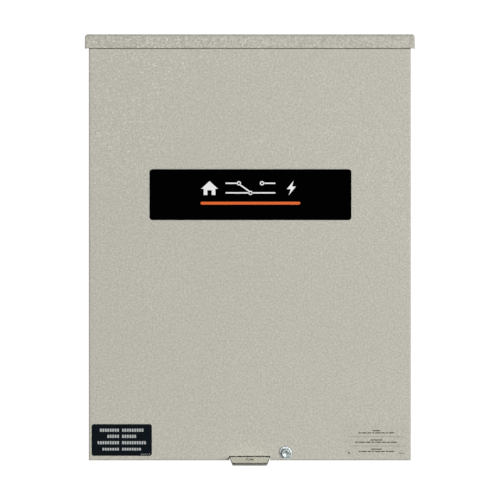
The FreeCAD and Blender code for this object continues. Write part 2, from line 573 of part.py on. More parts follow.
def load_buses():
    """Bus and hinge jaws of each pole: the jaws grip the arm's hub and feed the load lug."""
    buses = []
    for x, side in zip(POLES, (-1, 1)):
        low, high = (side * dz for dz in LOAD_BUS_DZ)
        z0, z1 = sorted((ROTOR_Z + low, ROTOR_Z + high))
        bar = box(x - 10.3, BASE_X[1] - 2, BASE_Y - BUS_T, BASE_Y, z0, z1)
        foot_y = BASE_Y - BUS_T
        outline = [(foot_y + 1, ROTOR_Z + high), (foot_y + 1, ROTOR_Z + low * 0.75),
                   (ROTOR_Y + 9, ROTOR_Z - side * 12), (ROTOR_Y - 8, ROTOR_Z + side * 12.6)]
        jaws = []
        for x0 in (x - ARM_HALF_W - GAP - 3, x + ARM_HALF_W + GAP):
            jaw = prism_x(outline, x0, x0 + 3)
            jaws.append(jaw.fuse(rod(15.0, at(x0, ROTOR_Y, ROTOR_Z), at(x0 + 3, ROTOR_Y, ROTOR_Z))))
        bore = rod(11.0, at(x - 20, ROTOR_Y, ROTOR_Z), at(x + 20, ROTOR_Y, ROTOR_Z))
        buses.append(bar.multiFuse(jaws).cut(bore).removeSplitter())
    save("load_buses", *buses)


def lug(x, z, along):
    """Wire lug on a bus, its wire bore along Z or X, with a hex-socket set screw in front."""
    y0, y1 = BASE_Y - BUS_T - LUG_D, BASE_Y - BUS_T
    reach = along * (LUG_L / 2)
    half = 12.0
    if along == Z:
        body = rounded(box(x - half, x + half, y0, y1, z - LUG_L / 2, z + LUG_L / 2), Z, 3.0)
    else:
        body = rounded(box(x - LUG_L / 2, x + LUG_L / 2, y0, y1, z - half, z + half), X, 3.0)
    middle = at(x, LUG_BORE_Y, z)
    body = body.cut(rod(LUG_R, middle - reach * 1.1, middle + reach * 1.1))
    body = body.cut(rod(5.0, at(x, y0 - 1, z), at(x, LUG_BORE_Y, z)))
    screw = rod(5.0, at(x, y0 - 0.8, z), at(x, LUG_BORE_Y - LUG_R + 0.1 - 0.8, z))
    screw = screw.cut(hexagon(5.5, at(x, y0 - 2, z), at(x, y0 + 3.4, z), X, Z))
    return body, screw


def lugs():
    utility = [lug(x, ROTOR_Z + LUG_DZ, Z) for x in POLES]
    generator = [lug(x, ROTOR_Z - LUG_DZ, Z) for x in POLES]
    load = [lug(LOAD_LUG_X, ROTOR_Z + sum(LOAD_BUS_DZ) / 2 * side, X) for side in (-1, 1)]
    save("utility_lugs", *[body for body, _ in utility])
    save("generator_lugs", *[body for body, _ in generator])
    save("load_lugs", *[body for body, _ in load])
    save("lug_set_screws", *[screw for _, screw in utility + generator + load])


def arc_chutes():
    """A stack of notched steel plates in a fibre frame, in front of each pole's contacts."""
    frames, plates = [], []
    y0, y1 = WALL_FRONT, -112.0
    for x in POLES:
        cheeks = [box(x + side * 19.2 - 0.8, x + side * 19.2 + 0.8, y0, y1, ROTOR_Z - 46, ROTOR_Z + 46)
                  for side in (-1, 1)]
        caps = [box(x - 35.5, x + 35.5, y0, -124, z - 1, z + 1) for z in (ROTOR_Z - 47, ROTOR_Z + 47)]
        frames.append(fuse(cheeks[0], cheeks[1], *caps))
        for k in range(8):
            z = ROTOR_Z - 38.5 + 11 * k
            outline = [(x - 18.4, y0 + 2), (x + 18.4, y0 + 2), (x + 18.4, -130), (x + 5, -136), (x - 5, -136),
                       (x - 18.4, -130)]
            plates.append(prism_z(outline, z - 0.6, z + 0.6))
    save("arc_chute_frames", *frames)
    save("arc_chute_plates", *plates)


# ---------------------------------------------------------------- solenoid and limit switches
def coil_axis(z):
    return at(PLUNGER_X, PLUNGER_Y, z)


def solenoid():
    """Steel frame with a coil above and a coil below the rotor's level."""
    x0, x1 = FRAME_X
    frame = box(x0, x1, PLATE_Y - 4, PLATE_Y, ROTOR_Z - 73, ROTOR_Z + 73)
    shelves = []
    for dz in (COIL_DZ[0] - 3, COIL_DZ[1]):
        thick = 3 if dz < 40 else 4
        for z in (ROTOR_Z + dz, ROTOR_Z - dz - thick):
            shelves.append(box(x0, x1, -78, PLATE_Y - 3, z, z + thick))
    bore = rod(CORE_BORE_R, coil_axis(ROTOR_Z - 80), coil_axis(ROTOR_Z + 80))
    bracket = box(x0 + 8, x1 - 6, -81, -78, ROTOR_Z + 11.75, ROTOR_Z + 23)
    brackets = [bracket, mirror_rotor(bracket)]
    save("solenoid_frame", frame.multiFuse(shelves + brackets).cut(bore).removeSplitter())
    bobbins, windings = [], []
    for side in (-1, 1):
        za, zb = ROTOR_Z + side * COIL_DZ[0], ROTOR_Z + side * COIL_DZ[1]
        spool = rod(10.0, coil_axis(za), coil_axis(zb))
        flange_low = rod(19.0, coil_axis(za), coil_axis(za + side * 2))
        flange_high = rod(19.0, coil_axis(zb - side * 2), coil_axis(zb))
        hole = rod(CORE_BORE_R, coil_axis(za - side), coil_axis(zb + side))
        ends = sorted((ROTOR_Z + side * 56, ROTOR_Z + side * 67.5))
        terminal = box(COIL_LEAD_X, PLUNGER_X - 18.2, PLUNGER_Y - 4, PLUNGER_Y + 4, *ends)
        bobbins.append(fuse(spool, flange_low, flange_high, terminal).cut(hole))
        windings.append(ring(17.8, 10.0, coil_axis(za + side * 2), coil_axis(zb - side * 2)))
    save("coil_bobbins", *bobbins)
    save("coil_windings", *windings)


def plunger():
    """Core that slides through both coils, with a slotted yoke for the crank pin in its middle."""
    rest = ROTOR_Z - PLUNGER_TRAVEL / 2
    core = rod(CORE_R, coil_axis(rest - 62), coil_axis(rest + 62))
    yoke = box(PLUNGER_X - 10, PLUNGER_X + 12, PLUNGER_Y - 12, PLUNGER_Y + 12, rest - 10, rest + 10)
    yoke = rounded(yoke, Z, 2.0)
    flag = box(PLUNGER_X - 5, PLUNGER_X + 5, -90, PLUNGER_Y - 11, rest - 2, rest + 2)
    slot = box(PLUNGER_X + 1.5, PLUNGER_X + 14, PLUNGER_Y - 5.6, PLUNGER_Y + 5.6, rest - 3.5, rest + 3.5)
    save("solenoid_plunger", fuse(core, yoke, flag).cut(slot))


def limit_switches():
    """One small switch at each end of the yoke's travel, its button facing the yoke's flag."""
    x0, x1 = PLUNGER_X - 14, PLUNGER_X + 14
    cases = []
    for side in (-1, 1):
        z0, z1 = sorted((ROTOR_Z + side * 11.75, ROTOR_Z + side * 27.75))
        case = rounded(box(x0, x1, -91, -81, z0, z1), Y, 1.2)
        low, high = (at(PLUNGER_X, SWITCH_Y, ROTOR_Z + side * dz) for dz in (10, 19))
        bore = rod(2.3, low, high)
        lugs_z = ROTOR_Z + side * 30.5
        tags = [box(x - 0.4, x + 0.4, -88.5, -83.5, *sorted((ROTOR_Z + side * 27, lugs_z + side * 2)))
                for x in (PLUNGER_X - 9, PLUNGER_X, PLUNGER_X + 9)]
        cases.append(fuse(case.cut(bore), *tags))
    save("limit_switches", *cases)
    rest = ROTOR_Z - PLUNGER_TRAVEL / 2
    pressed_top = rest - 2 - GAP
    lower = rod(2.0, at(PLUNGER_X, SWITCH_Y, pressed_top - 7), at(PLUNGER_X, SWITCH_Y, pressed_top))
    released = ROTOR_Z + (ROTOR_Z - pressed_top) - BUTTON_TRAVEL
    upper = rod(2.0, at(PLUNGER_X, SWITCH_Y, released), at(PLUNGER_X, SWITCH_Y, released + 8))
    save("lower_limit_button", lower)
    save("upper_limit_button", upper)


# ---------------------------------------------------------------- control parts
def control_board():
    front = BOARD_Y - BOARD_T
    board = rounded(box(*BOARD_X, front, BOARD_Y, *BOARD_Z), Y, 3.0)
    corners = [(x, z) for x in (BOARD_X[0] + 5, BOARD_X[1] - 5) for z in (BOARD_Z[0] + 5, BOARD_Z[1] - 5)]
    holes = [rod(1.8, at(x, front - 1, z), at(x, BOARD_Y + 1, z)) for x, z in corners]
    save("control_board", board.cut(holes[0].multiFuse(holes[1:])))
    posts = [hexagon(6.0, at(x, PLATE_Y, z), at(x, BOARD_Y, z), X, Z) for x, z in corners]
    heads = [rod(1.8, at(x, BOARD_Y, z), at(x, front, z)).fuse(rod(3.0, at(x, front, z), at(x, front - 2, z)))
             for x, z in corners]
    save("plate_standoffs", *posts)
    save("plate_fasteners", *heads)

    def block(x, z, w, h, d):
        return rounded(box(x - w / 2, x + w / 2, front - d, front, z - h / 2, z + h / 2), Y, 0.8)

    relays = [block(x, -112, 13, 28, 16) for x in (8, 26, 44, 62)]
    save("board_components", *relays)
    core = block(104, -112, 34, 40, 18)
    save("board_components", core)
    coil = rounded(box(91, 117, front - 26, front - 18, -127, -97), Y, 3.0)
    save("board_components", coil)
    cans = [rod(5.0, at(x, front, -146), at(x, front - 16, -146)) for x in (104, 117)]
    chips = [block(30, -146, 26, 10, 3.4), block(62, -146, 18, 18, 2.4), block(84, -146, 8, 10, 2.6)]
    save("board_components", *cans)
    save("board_components", *chips)
    strips = []
    for x0, ways in ((-12, 8), (46, 10)):
        strip = box(x0, x0 + WAY * ways, front - 12, front, -182, -172)
        for k in range(ways):
            x = x0 + WAY * (k + 0.5)
            strip = strip.cut(rod(1.7, at(x, front - 13, -175.5), at(x, front - 9.5, -175.5)))
            strip = strip.cut(box(x - 1.6, x + 1.6, front - 9, front - 3.5, -183, -179))
        strips.append(strip)
    save("board_terminals", *strips)
    lamps = [rod(1.5, at(x, front, -160), at(x, front - 4.4, -160)).fuse(
        Part.makeSphere(1.5, at(x, front - 4.4, -160))) for x in (-8, 0, 8, 16, 24)]
    save("board_components", *[lamp.removeSplitter() for lamp in lamps])
    housing = box(-13.5, -6.5, front - 3.6, front, -149.5, -142.5)
    save("board_components", housing.cut(rod(2.05, at(-10, front - 5, -146), at(-10, front - 1.5, -146))))
    save("test_button", rod(1.75, at(-10, front - 6.4, -146), at(-10, front - 2.7, -146)))


def transfer_relay():
    """Plug-in relay under a clear case, in a screw-terminal socket."""
    seat = PLATE_Y - 22
    socket = rounded(box(RELAY_X - 17, RELAY_X + 17, seat, PLATE_Y, RELAY_Z - 36, RELAY_Z + 36), Y, 2.0)
    steps = [box(RELAY_X - 18, RELAY_X + 18, seat - 1, RELAY_STEP, z, z + 13)
             for z in (RELAY_Z - 37, RELAY_Z + 24)]
    socket = socket.cut(steps[0].fuse(steps[1]))
    screws = [screw_head(x, RELAY_STEP, RELAY_Z + row, 3.0) for row in (-RELAY_ROW, RELAY_ROW)
              for x in RELAY_WAYS]
    save("relay_socket", socket)
    save("terminal_screws", *screws)
    x0, x1, z0, z1, y0 = RELAY_X - 13, RELAY_X + 13, RELAY_Z - 20, RELAY_Z + 20, seat - 34
    case = rounded(box(x0, x1, y0, seat, z0, z1), Y, 2.0)
    case = case.cut(rounded(box(x0 + 1.2, x1 - 1.2, y0 + 1.2, seat, z0 + 1.2, z1 - 1.2), Y, 0.8))
    save("relay_case", case)
    yoke = box(RELAY_X - 8, RELAY_X + 8, seat - 27, seat, RELAY_Z + 11, RELAY_Z + 13)
    foot = box(RELAY_X - 8, RELAY_X + 8, seat - 2, seat, RELAY_Z - 13, RELAY_Z + 11)
    pole = rod(3.5, at(RELAY_X, seat - 2, RELAY_Z), at(RELAY_X, seat - 25, RELAY_Z))
    save("relay_magnet", fuse(yoke, foot, pole))
    save("relay_magnet", ring(9.0, 3.5, at(RELAY_X, seat - 3, RELAY_Z), at(RELAY_X, seat - 23, RELAY_Z)))
    # the armature rocks on the yoke's front edge and rests a little off the pole
    lower = box(RELAY_X - 7.5, RELAY_X + 7.5, seat - 29.2, seat - 27.6, RELAY_Z - 13, RELAY_Z + 14)
    save("relay_armature", rounded(lower, Y, 1.0))


def fuse_block():
    """Three cartridge fuses in spring clips, with a wire screw above and below each."""
    block = rounded(box(FUSE_X[0] - 8, FUSE_X[2] + 8, FUSE_SEAT, PLATE_Y, -116, -56), Y, 2.0)
    barrels, clips, screws = [], [], []
    axis_y = FUSE_SEAT - 8
    for x in FUSE_X:
        barrels.append(rod(FUSE_R, at(x, axis_y, FUSE_Z[0]), at(x, axis_y, FUSE_Z[1])))
        for z in (-102.5, -75.5):
            clip = ring(FUSE_R + 1.1, FUSE_R, at(x, axis_y, z), at(x, axis_y, z + 6))
            clip = clip.cut(box(x - 3.2, x + 3.2, axis_y - 8, axis_y, z - 1, z + 7))
            stem = box(x - 2.2, x + 2.2, FUSE_SEAT - 2.2, FUSE_SEAT, z, z + 6)
            clips.append(clip.fuse(stem).removeSplitter())
        for z in FUSE_SCREW_Z:
            plate = box(x - 5, x + 5, FUSE_SEAT - 1, FUSE_SEAT, z - 3.8, z + 3.8)
            screws += [plate, screw_head(x, FUSE_SEAT - 1, z, 3.0)]
    save("fuse_block", block)
    save("fuses", *barrels)
    save("fuse_clips", *clips)
    save("terminal_screws", *screws)


def terminal_strip():
    """Six-way barrier strip for the control wires."""
    z0, z1 = -178, -154
    strip = box(-130, -36, STRIP_SEAT, PLATE_Y, z0, z1)
    ribs = [box(x - 8.65, x - 6.65, STRIP_SEAT - 7, STRIP_SEAT + 1, z0, z1)
            for x in STRIP_WAYS + [STRIP_WAYS[-1] + 15.3]]
    save("terminal_strip", fuse(strip, *ribs))
    screws = []
    for x in STRIP_WAYS:
        screws.append(box(x - 5.5, x + 5.5, STRIP_SEAT - 1, STRIP_SEAT, z0 + 1, z1 - 1))
        screws += [screw_head(x, STRIP_SEAT - 1, z, 3.6) for z in STRIP_SCREW_Z]
    save("terminal_screws", *screws)


def neutral_block():
    """Neutral lugs in one aluminium block, on an insulator."""
    seat = PLATE_Y - 13
    save("neutral_insulator", rounded(box(-136, -76, seat, PLATE_Y, 146, 184), Y, 2.0))
    block = rounded(box(-134, -78, seat - 26, seat, *NEUTRAL_Z), Z, 3.0)
    screw_z = sum(NEUTRAL_Z) / 2
    for x in NEUTRAL_X:
        block = block.cut(rod(NEUTRAL_R, at(x, NEUTRAL_Y, 140), at(x, NEUTRAL_Y, 190)))
        block = block.cut(rod(4.5, at(x, seat - 27, screw_z), at(x, NEUTRAL_Y, screw_z)))
        screw = rod(4.5, at(x, seat - 27, screw_z), at(x, seat - 19.2, screw_z))
        socket = hexagon(5.0, at(x, seat - 28, screw_z), at(x, seat - 23.5, screw_z), X, Z)
        save("lug_set_screws", screw.cut(socket))
    save("neutral_and_ground_bars", block)


def ground_bar():
    """Bar on the back wall for the bare earth wires."""
    bar = box(*BAR_X, BACK_IN - BAR_T, BACK_IN, *BAR_Z)
    for k in range(6):
        z = BAR_Z[0] + 8 + 16 * k
        bar = bar.cut(rod(3.2, at(BAR_X[0] - 1, BACK_IN - 5, z), at(BAR_X[1] + 1, BACK_IN - 5, z)))
        save("terminal_screws", screw_head(sum(BAR_X) / 2, BACK_IN - BAR_T, z, 3.6))
    save("neutral_and_ground_bars", bar)


# ---------------------------------------------------------------- internal wiring
def lane(k):
    return GUTTER_X - LANE * k


def utility_sense_wires():
    """From the utility straps over the top and down the gutter to the first two fuses."""
    wires = []
    start, end = ROTOR_Z + 98.2, FUSE_SCREW_Z[1] + 3.2
    for k, (x, fuse_x) in enumerate(zip((-37.0, 40.0), (FUSE_X[1], FUSE_X[0]))):
        top, leg, side = 188 + LANE * k, -46.5 - LANE * k, lane(4 + k)
        wires.append([at(x, -38.1, start), at(x, -38.1, start + 5), at(x, -34, top), at(side, -34, top),
                      at(side, FRONT_LAYER, 150), at(side, FRONT_LAYER, leg), at(fuse_x, FRONT_LAYER, leg),
                      at(fuse_x, -31.9, end + 4), at(fuse_x, -31.9, end)])
    return wires


def generator_sense_wires():
    start, end = ROTOR_Z - 98.2, FUSE_SCREW_Z[1] + 3.2
    return [[at(-37, -38.1, start), at(-37, -38.1, start - 5), at(-37, -28, -48), at(FUSE_X[2], -31.5, -46),
             at(FUSE_X[2], -31.9, end + 3), at(FUSE_X[2], -31.9, end)]]


def fuse_output_wires():
    start, end = FUSE_SCREW_Z[0] - 3.2, STRIP_SCREW_Z[1] + 3.8
    return [[at(x, -31.9, start), at(x, -31.9, -126), at(way, -31.1, -142), at(way, -31.1, end)]
            for x, way in zip(FUSE_X, STRIP_WAYS)]


def coil_wires():
    """Two leads from each coil, down the gutter to the lower screws of the relay socket."""
    wires = []
    end = RELAY_Z - RELAY_ROW - 3.2
    for k, dz in enumerate((-64.5, -58.5, 58.5, 64.5)):
        z, side, way, leg = ROTOR_Z + dz, lane(k), RELAY_WAYS[k], -153 - LANE * k
        wires.append([at(COIL_LEAD_X - 0.1, PLUNGER_Y, z), at(COIL_LEAD_X - 5, PLUNGER_Y, z),
                      at(side, REAR_LAYER, z - 8), at(side, REAR_LAYER, leg), at(way, REAR_LAYER, leg),
                      at(way, RELAY_STEP - 1.3, end - 3), at(way, RELAY_STEP - 1.3, end)])
    return wires


def switch_wires():
    """Two leads from each limit switch, down the gutter to the upper screws of the relay socket."""
    wires = []
    end = RELAY_Z + RELAY_ROW + 3.2
    for k, (side, x, rise) in enumerate(((-1, -99, 48), (-1, -117, 44), (1, -117, 44), (1, -99, 48))):
        tag, level = ROTOR_Z + side * 32.6, ROTOR_Z + side * rise
        lane_x, way, leg = lane(k) + 1.0, RELAY_WAYS[3 - k], -32 - LANE * k
        wires.append([at(x, SWITCH_Y, tag), at(x, SWITCH_Y, level), at(lane_x, -80, level),
                      at(lane_x, FRONT_LAYER, level - 36), at(lane_x, FRONT_LAYER, leg),
                      at(way, FRONT_LAYER, leg), at(way, -36, end + 8), at(way, RELAY_STEP - 1.3, end)])
    return wires


def board_wires():
    """From the terminal strip, under the plate's edge, up into the board's terminals."""
    wires = []
    for k, way in enumerate(reversed(STRIP_WAYS)):
        leg = -194 - LANE * k
        wires.append([at(way, -31.1, STRIP_SCREW_Z[0] - 3.8), at(way, -31.1, -184), at(way, -36, leg),
                      at(BOARD_WAYS[k], -38, leg), at(BOARD_WAYS[k], -40.85, -179.3)])
    return wires


def neutral_wires():
    side, leg = lane(6), -217
    return [[at(-134.1, -50, 157), at(side, -49, 157), at(side, REAR_LAYER, 118), at(side, REAR_LAYER, leg),
             at(48.5, -40, leg), at(48.5, -40.85, -179.3)]]


def ground_wires():
    bore_y = BACK_IN - 5
    return [[at(-154.9, bore_y, -142), at(-147, bore_y, -142), at(-146, -15, -170), at(-146, -23, -189),
             at(-139.3, -23, -189)]]


def harness():
    """Control wires, each fixed at both ends; the long runs lie side by side in the left gutter."""
    bundles = {"sense_wires": (utility_sense_wires, generator_sense_wires, fuse_output_wires),
               "solenoid_wires": (coil_wires, switch_wires), "board_wires": (board_wires,),
               "neutral_and_ground_wires": (neutral_wires, ground_wires)}
    for name, routes in bundles.items():
        for route in routes:
            save(name, *[insulated_wire(points, WIRE_R) for points in route()])


def main():
    enclosure_body()
    knockout_slugs()
    hasp_plate()
    drip_hood()
    front_cover()
    cover_pivot_studs()
    cover_labels()
    cover_screw()
    mounting_plate()
    mech_base()
    bearing_bushes()
    rotor()
    handle()
    fixed_contacts()
    load_buses()
    lugs()
    arc_chutes()
    solenoid()
    plunger()
    limit_switches()
    control_board()
    transfer_relay()
    fuse_block()
    terminal_strip()
    neutral_block()
    ground_bar()
    harness()
    export()


main()
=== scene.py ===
import json
import math
import random

import bmesh
import bpy
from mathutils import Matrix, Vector


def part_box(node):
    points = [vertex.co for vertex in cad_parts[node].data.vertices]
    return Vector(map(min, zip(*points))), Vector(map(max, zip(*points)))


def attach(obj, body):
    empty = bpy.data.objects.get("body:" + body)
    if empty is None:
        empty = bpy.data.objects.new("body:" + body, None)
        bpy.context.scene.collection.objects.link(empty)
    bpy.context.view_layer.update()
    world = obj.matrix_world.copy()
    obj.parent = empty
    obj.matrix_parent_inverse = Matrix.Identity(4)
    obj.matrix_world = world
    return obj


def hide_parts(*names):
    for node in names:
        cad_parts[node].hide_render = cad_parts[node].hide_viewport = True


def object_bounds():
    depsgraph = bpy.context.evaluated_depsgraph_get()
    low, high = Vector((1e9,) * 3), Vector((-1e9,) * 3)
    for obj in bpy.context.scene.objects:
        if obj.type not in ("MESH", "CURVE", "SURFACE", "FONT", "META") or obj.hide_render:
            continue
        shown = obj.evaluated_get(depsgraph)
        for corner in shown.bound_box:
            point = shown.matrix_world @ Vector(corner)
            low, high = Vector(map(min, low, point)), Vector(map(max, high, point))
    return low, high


# Looks of a wall-mounted transfer switch: powder-coated sheet steel outside, switchgear inside.
# Metres, in the CAD model's frame: +Z up, the cover faces -Y, the wall plane is y = 0.

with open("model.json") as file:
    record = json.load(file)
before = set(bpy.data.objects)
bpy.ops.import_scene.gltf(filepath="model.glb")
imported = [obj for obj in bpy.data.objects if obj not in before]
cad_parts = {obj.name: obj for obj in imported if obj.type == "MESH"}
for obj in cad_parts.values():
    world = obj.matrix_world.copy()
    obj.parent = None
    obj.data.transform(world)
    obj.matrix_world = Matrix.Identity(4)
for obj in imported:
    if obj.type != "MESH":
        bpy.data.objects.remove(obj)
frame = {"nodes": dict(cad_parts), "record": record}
cad_low, cad_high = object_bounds()
nodes = frame["nodes"]
body_of_node = {n: b for b, names in frame["record"]["behaviour"]["bodies"].items() for n in names}
slot_of_node = {p["node"]: p["material_slot"] for p in frame["record"]["subparts"]}

MM = 0.001
INK = 0.05 * MM                 # how far printed marks stand off their label


# ---------------------------------------------------------------- material helpers
BAND_SCALE = 0.314              # wave texture scale that puts its bands one metre apart
# Painted shade: the frontmost edge of the padlock tab is darkened towards near black.
RAGGED_SIZE = 2.5 * MM          # edge of the painted shade on the tab's front: size of its teeth,
RAGGED_DEPTH = 1.2 * MM         # how far they reach,
SHADE_FADE = 0.4 * MM             # how softly the painted shade fades in,
SHADE_STRENGTH = 0.85                   # and how dark it gets


class Finish:
    """One procedural material, with a short call for each kind of node that it needs."""

    def __init__(self, name, colour, roughness, metallic=0.0, **sockets):
        self.material = bpy.data.materials.new(name)
        self.material.use_nodes = True
        self.tree = self.material.node_tree
        self.shader = self.tree.nodes["Principled BSDF"]
        self.colour = colour
        self.roughness = roughness
        self.shader.inputs["Base Color"].default_value = (*colour, 1.0)
        self.shader.inputs["Roughness"].default_value = roughness
        self.shader.inputs["Metallic"].default_value = metallic
        for socket, value in sockets.items():
            self.shader.inputs[socket.replace("_", " ")].default_value = value
        self.material.diffuse_color = (*colour, 1.0)

    def link(self, output, node, socket):
        self.tree.links.new(output, node.inputs[socket])

    def place(self, stretch=(1.0, 1.0, 1.0)):
        """Coordinates in the object's own frame, stretched so that a pattern runs along an axis."""
        source = self.tree.nodes.new("ShaderNodeTexCoord")
        mapping = self.tree.nodes.new("ShaderNodeMapping")
        mapping.inputs["Scale"].default_value = stretch
        self.link(source.outputs["Object"], mapping, "Vector")
        return mapping.outputs["Vector"]

    def noise(self, size, detail=2.0, stretch=(1.0, 1.0, 1.0), distortion=0.0):
        """Noise whose blotches are about one size across, in metres."""
        node = self.tree.nodes.new("ShaderNodeTexNoise")
        node.inputs["Scale"].default_value = 1.0 / size
        node.inputs["Detail"].default_value = detail
        node.inputs["Distortion"].default_value = distortion
        self.link(self.place(stretch), node, "Vector")
        return node.outputs["Fac"]

    def cells(self, size, metric="EUCLIDEAN"):
        """Cells about one size across, each with its own random level."""
        node = self.tree.nodes.new("ShaderNodeTexVoronoi")
        node.distance = metric
        node.inputs["Scale"].default_value = 1.0 / size
        self.link(self.place(), node, "Vector")
        return node.outputs["Color"]

    def waves(self, size, axis):
        """Bands across one axis, one size apart."""
        node = self.tree.nodes.new("ShaderNodeTexWave")
        node.bands_direction = axis
        node.inputs["Scale"].default_value = BAND_SCALE / size
        self.link(self.place(), node, "Vector")
        return node.outputs["Fac"]

    def ramp(self, value, low, high, out_low=0.0, out_high=1.0):
        """Maps the range low to high onto out_low to out_high, and holds it past the ends."""
        node = self.tree.nodes.new("ShaderNodeMapRange")
        node.inputs["From Min"].default_value = low
        node.inputs["From Max"].default_value = high
        node.inputs["To Min"].default_value = out_low
        node.inputs["To Max"].default_value = out_high
        self.link(value, node, "Value")
        return node.outputs["Result"]

    def math(self, operation, a, b):
        node = self.tree.nodes.new("ShaderNodeMath")
        node.operation = operation
        for k, value in enumerate((a, b)):
            if isinstance(value, (int, float)):
                node.inputs[k].default_value = value
            else:
                self.tree.links.new(value, node.inputs[k])
        return node.outputs["Value"]

    def mix(self, factor, a, b):
        """Mixes two colours, each a tuple or the output of an earlier mix."""
        node = self.tree.nodes.new("ShaderNodeMix")
        node.data_type = "RGBA"
        self.tree.links.new(factor, node.inputs["Factor"])
        for socket, value in ((node.inputs[6], a), (node.inputs[7], b)):
            if isinstance(value, tuple):
                socket.default_value = (*value, 1.0)
            else:
                self.tree.links.new(value, socket)
        return node.outputs[2]

    def shade(self, amount):
        return tuple(min(1.0, c * amount) for c in self.colour)

    def paint(self, output):
        self.link(output, self.shader, "Base Color")

    def mottle(self, factor, spread):
        """Colour that wanders evenly either side of the base colour."""
        self.paint(self.mix(factor, self.shade(1 - spread), self.shade(1 + spread)))

    def along(self, axis):
        """Place along one axis of the object's own frame, in metres."""
        split = self.tree.nodes.new("ShaderNodeSeparateXYZ")
        self.link(self.place(), split, "Vector")
        return split.outputs[axis]

    def paint_front_shade(self, base, before):
        """The base colour, darkened towards near black past a place on the Y axis: painted shade."""
        teeth = self.math("MULTIPLY", self.noise(RAGGED_SIZE), RAGGED_DEPTH)
        ragged = self.math("ADD", self.along("Y"), teeth)
        return self.mix(self.ramp(ragged, before + SHADE_FADE, before, 0.0, SHADE_STRENGTH), base, PAINTED_SHADE_DARK)

    def rough(self, factor, spread):
        """Roughness that wanders evenly either side of the base roughness."""
        low, high = max(0.0, self.roughness - spread), min(1.0, self.roughness + spread)
        self.link(self.ramp(factor, 0.3, 0.7, low, high), self.shader, "Roughness")

    def bump(self, height, depth, strength=1.0):
        node = self.tree.nodes.new("ShaderNodeBump")
        node.inputs["Strength"].default_value = strength
        node.inputs["Distance"].default_value = depth
        self.link(height, node, "Height")
        self.link(node.outputs["Normal"], self.shader, "Normal")


def powder_coat(name, colour, contrast, grain, shade_painted_past=None):
    """Sandy powder coat: fine grains, paler specks, and a coarser wrinkle that comes and goes.

    The wrinkle is strongest towards the upper left, where the coat went on thicker.
    Past the given place on the Y axis, the coat is darkened with painted shade.
    """
    f = Finish(name, colour, 0.62, Specular_IOR_Level=0.35)
    fine = f.noise(grain, detail=3.0)
    coarse = f.noise(grain * 3.2, detail=2.0, distortion=0.6)
    patch = f.noise(0.16, detail=1.0)
    upper_left = f.ramp(f.math("SUBTRACT", f.along("Z"), f.along("X")), 0.16, 0.40, 0.0, 1.1)
    strength = f.math("ADD", f.ramp(patch, 0.35, 0.7, 0.15, 0.75), upper_left)
    height = f.math("ADD", fine, f.math("MULTIPLY", coarse, strength))
    f.bump(height, 0.30 * MM, strength=0.55)
    specks = f.ramp(f.noise(grain * 0.8, detail=1.0), 0.60, 0.72)
    base = f.mix(f.ramp(fine, 0.3, 0.7), f.shade(1 - contrast), f.shade(1 + contrast))
    base = f.mix(f.math("MULTIPLY", specks, strength), base, f.shade(1 + 2.4 * contrast))
    f.paint(base if shade_painted_past is None else f.paint_front_shade(base, shade_painted_past))
    f.rough(coarse, 0.06)
    return f.material


def plated(name, colour, roughness, scratch_axis=(1.0, 1.0, 14.0), shade_painted_past=None):
    """Plated steel: fine directional scratches over faint blotches."""
    f = Finish(name, colour, roughness, metallic=1.0)
    scratch = f.noise(0.0025, detail=3.0, stretch=scratch_axis)
    base = f.mix(f.noise(0.012, detail=3.0), f.shade(0.93), f.shade(1.07))
    f.paint(base if shade_painted_past is None else f.paint_front_shade(base, shade_painted_past))
    f.rough(scratch, 0.09)
    f.bump(scratch, 0.02 * MM, strength=0.4)
    return f.material


def galvanised(name, colour):
    """Zinc spangle: flat crystals, each with its own shade, under a fine grain."""
    f = Finish(name, colour, 0.42, metallic=1.0)
    spangle = f.cells(0.008)
    fine = f.noise(0.0018, detail=2.0)
    f.mottle(f.math("ADD", f.math("MULTIPLY", spangle, 0.8), f.math("MULTIPLY", fine, 0.2)), 0.09)
    f.rough(fine, 0.05)
    f.bump(fine, 0.015 * MM, strength=0.3)
    return f.material


def turned(name, colour, roughness, size=0.0006):
    """Machined metal: close tool marks around the part."""
    f = Finish(name, colour, roughness, metallic=1.0)
    marks = f.noise(size, detail=2.0, stretch=(0.12, 0.12, 1.0))
    f.mottle(f.noise(0.006, detail=2.0), 0.06)
    f.rough(marks, 0.04)
    f.bump(marks, 0.004 * MM, strength=0.3)
    return f.material


def moulded(name, colour, roughness, grain=0.0009, spread=0.10, depth=0.04):
    """Moulded plastic: a fine spark-eroded grain and a slight flow mottle."""
    f = Finish(name, colour, roughness)
    f.mottle(f.noise(0.02, detail=4.0), spread)
    fine = f.noise(grain, detail=2.0)
    f.rough(fine, 0.08)
    f.bump(fine, depth * MM, strength=0.35)
    return f.material


def vinyl(name, colour):
    """Matt vinyl label stock, nearly black, with a faint texture of the coat under it."""
    f = Finish(name, colour, 0.6, Specular_IOR_Level=0.0)
    under = f.noise(0.003, detail=2.0)
    f.mottle(under, 0.25)
    f.bump(under, 0.05 * MM, strength=0.2)
    return f.material


def ink(name, colour):
    """Screen-printed ink, slightly uneven."""
    f = Finish(name, colour, 0.5, Specular_IOR_Level=0.2)
    f.mottle(f.noise(0.0016, detail=2.0), 0.04)
    return f.material


def paper(name, colour):
    """Uncoated paper with faint level fibres."""
    f = Finish(name, colour, 0.8, Specular_IOR_Level=0.2)
    fibre = f.noise(0.0012, detail=4.0, stretch=(1.0, 1.0, 0.35))
    f.mottle(fibre, 0.03)
    f.bump(fibre, 0.02 * MM, strength=0.3)
    return f.material


def vulcanised_fibre(name, colour):
    """Pressed fibre board: long fibres and a dull surface."""
    f = Finish(name, colour, 0.75)
    fibre = f.noise(0.0035, detail=5.0, stretch=(1.0, 1.0, 0.2))
    f.mottle(fibre, 0.28)
    f.bump(fibre, 0.08 * MM, strength=0.5)
    return f.material


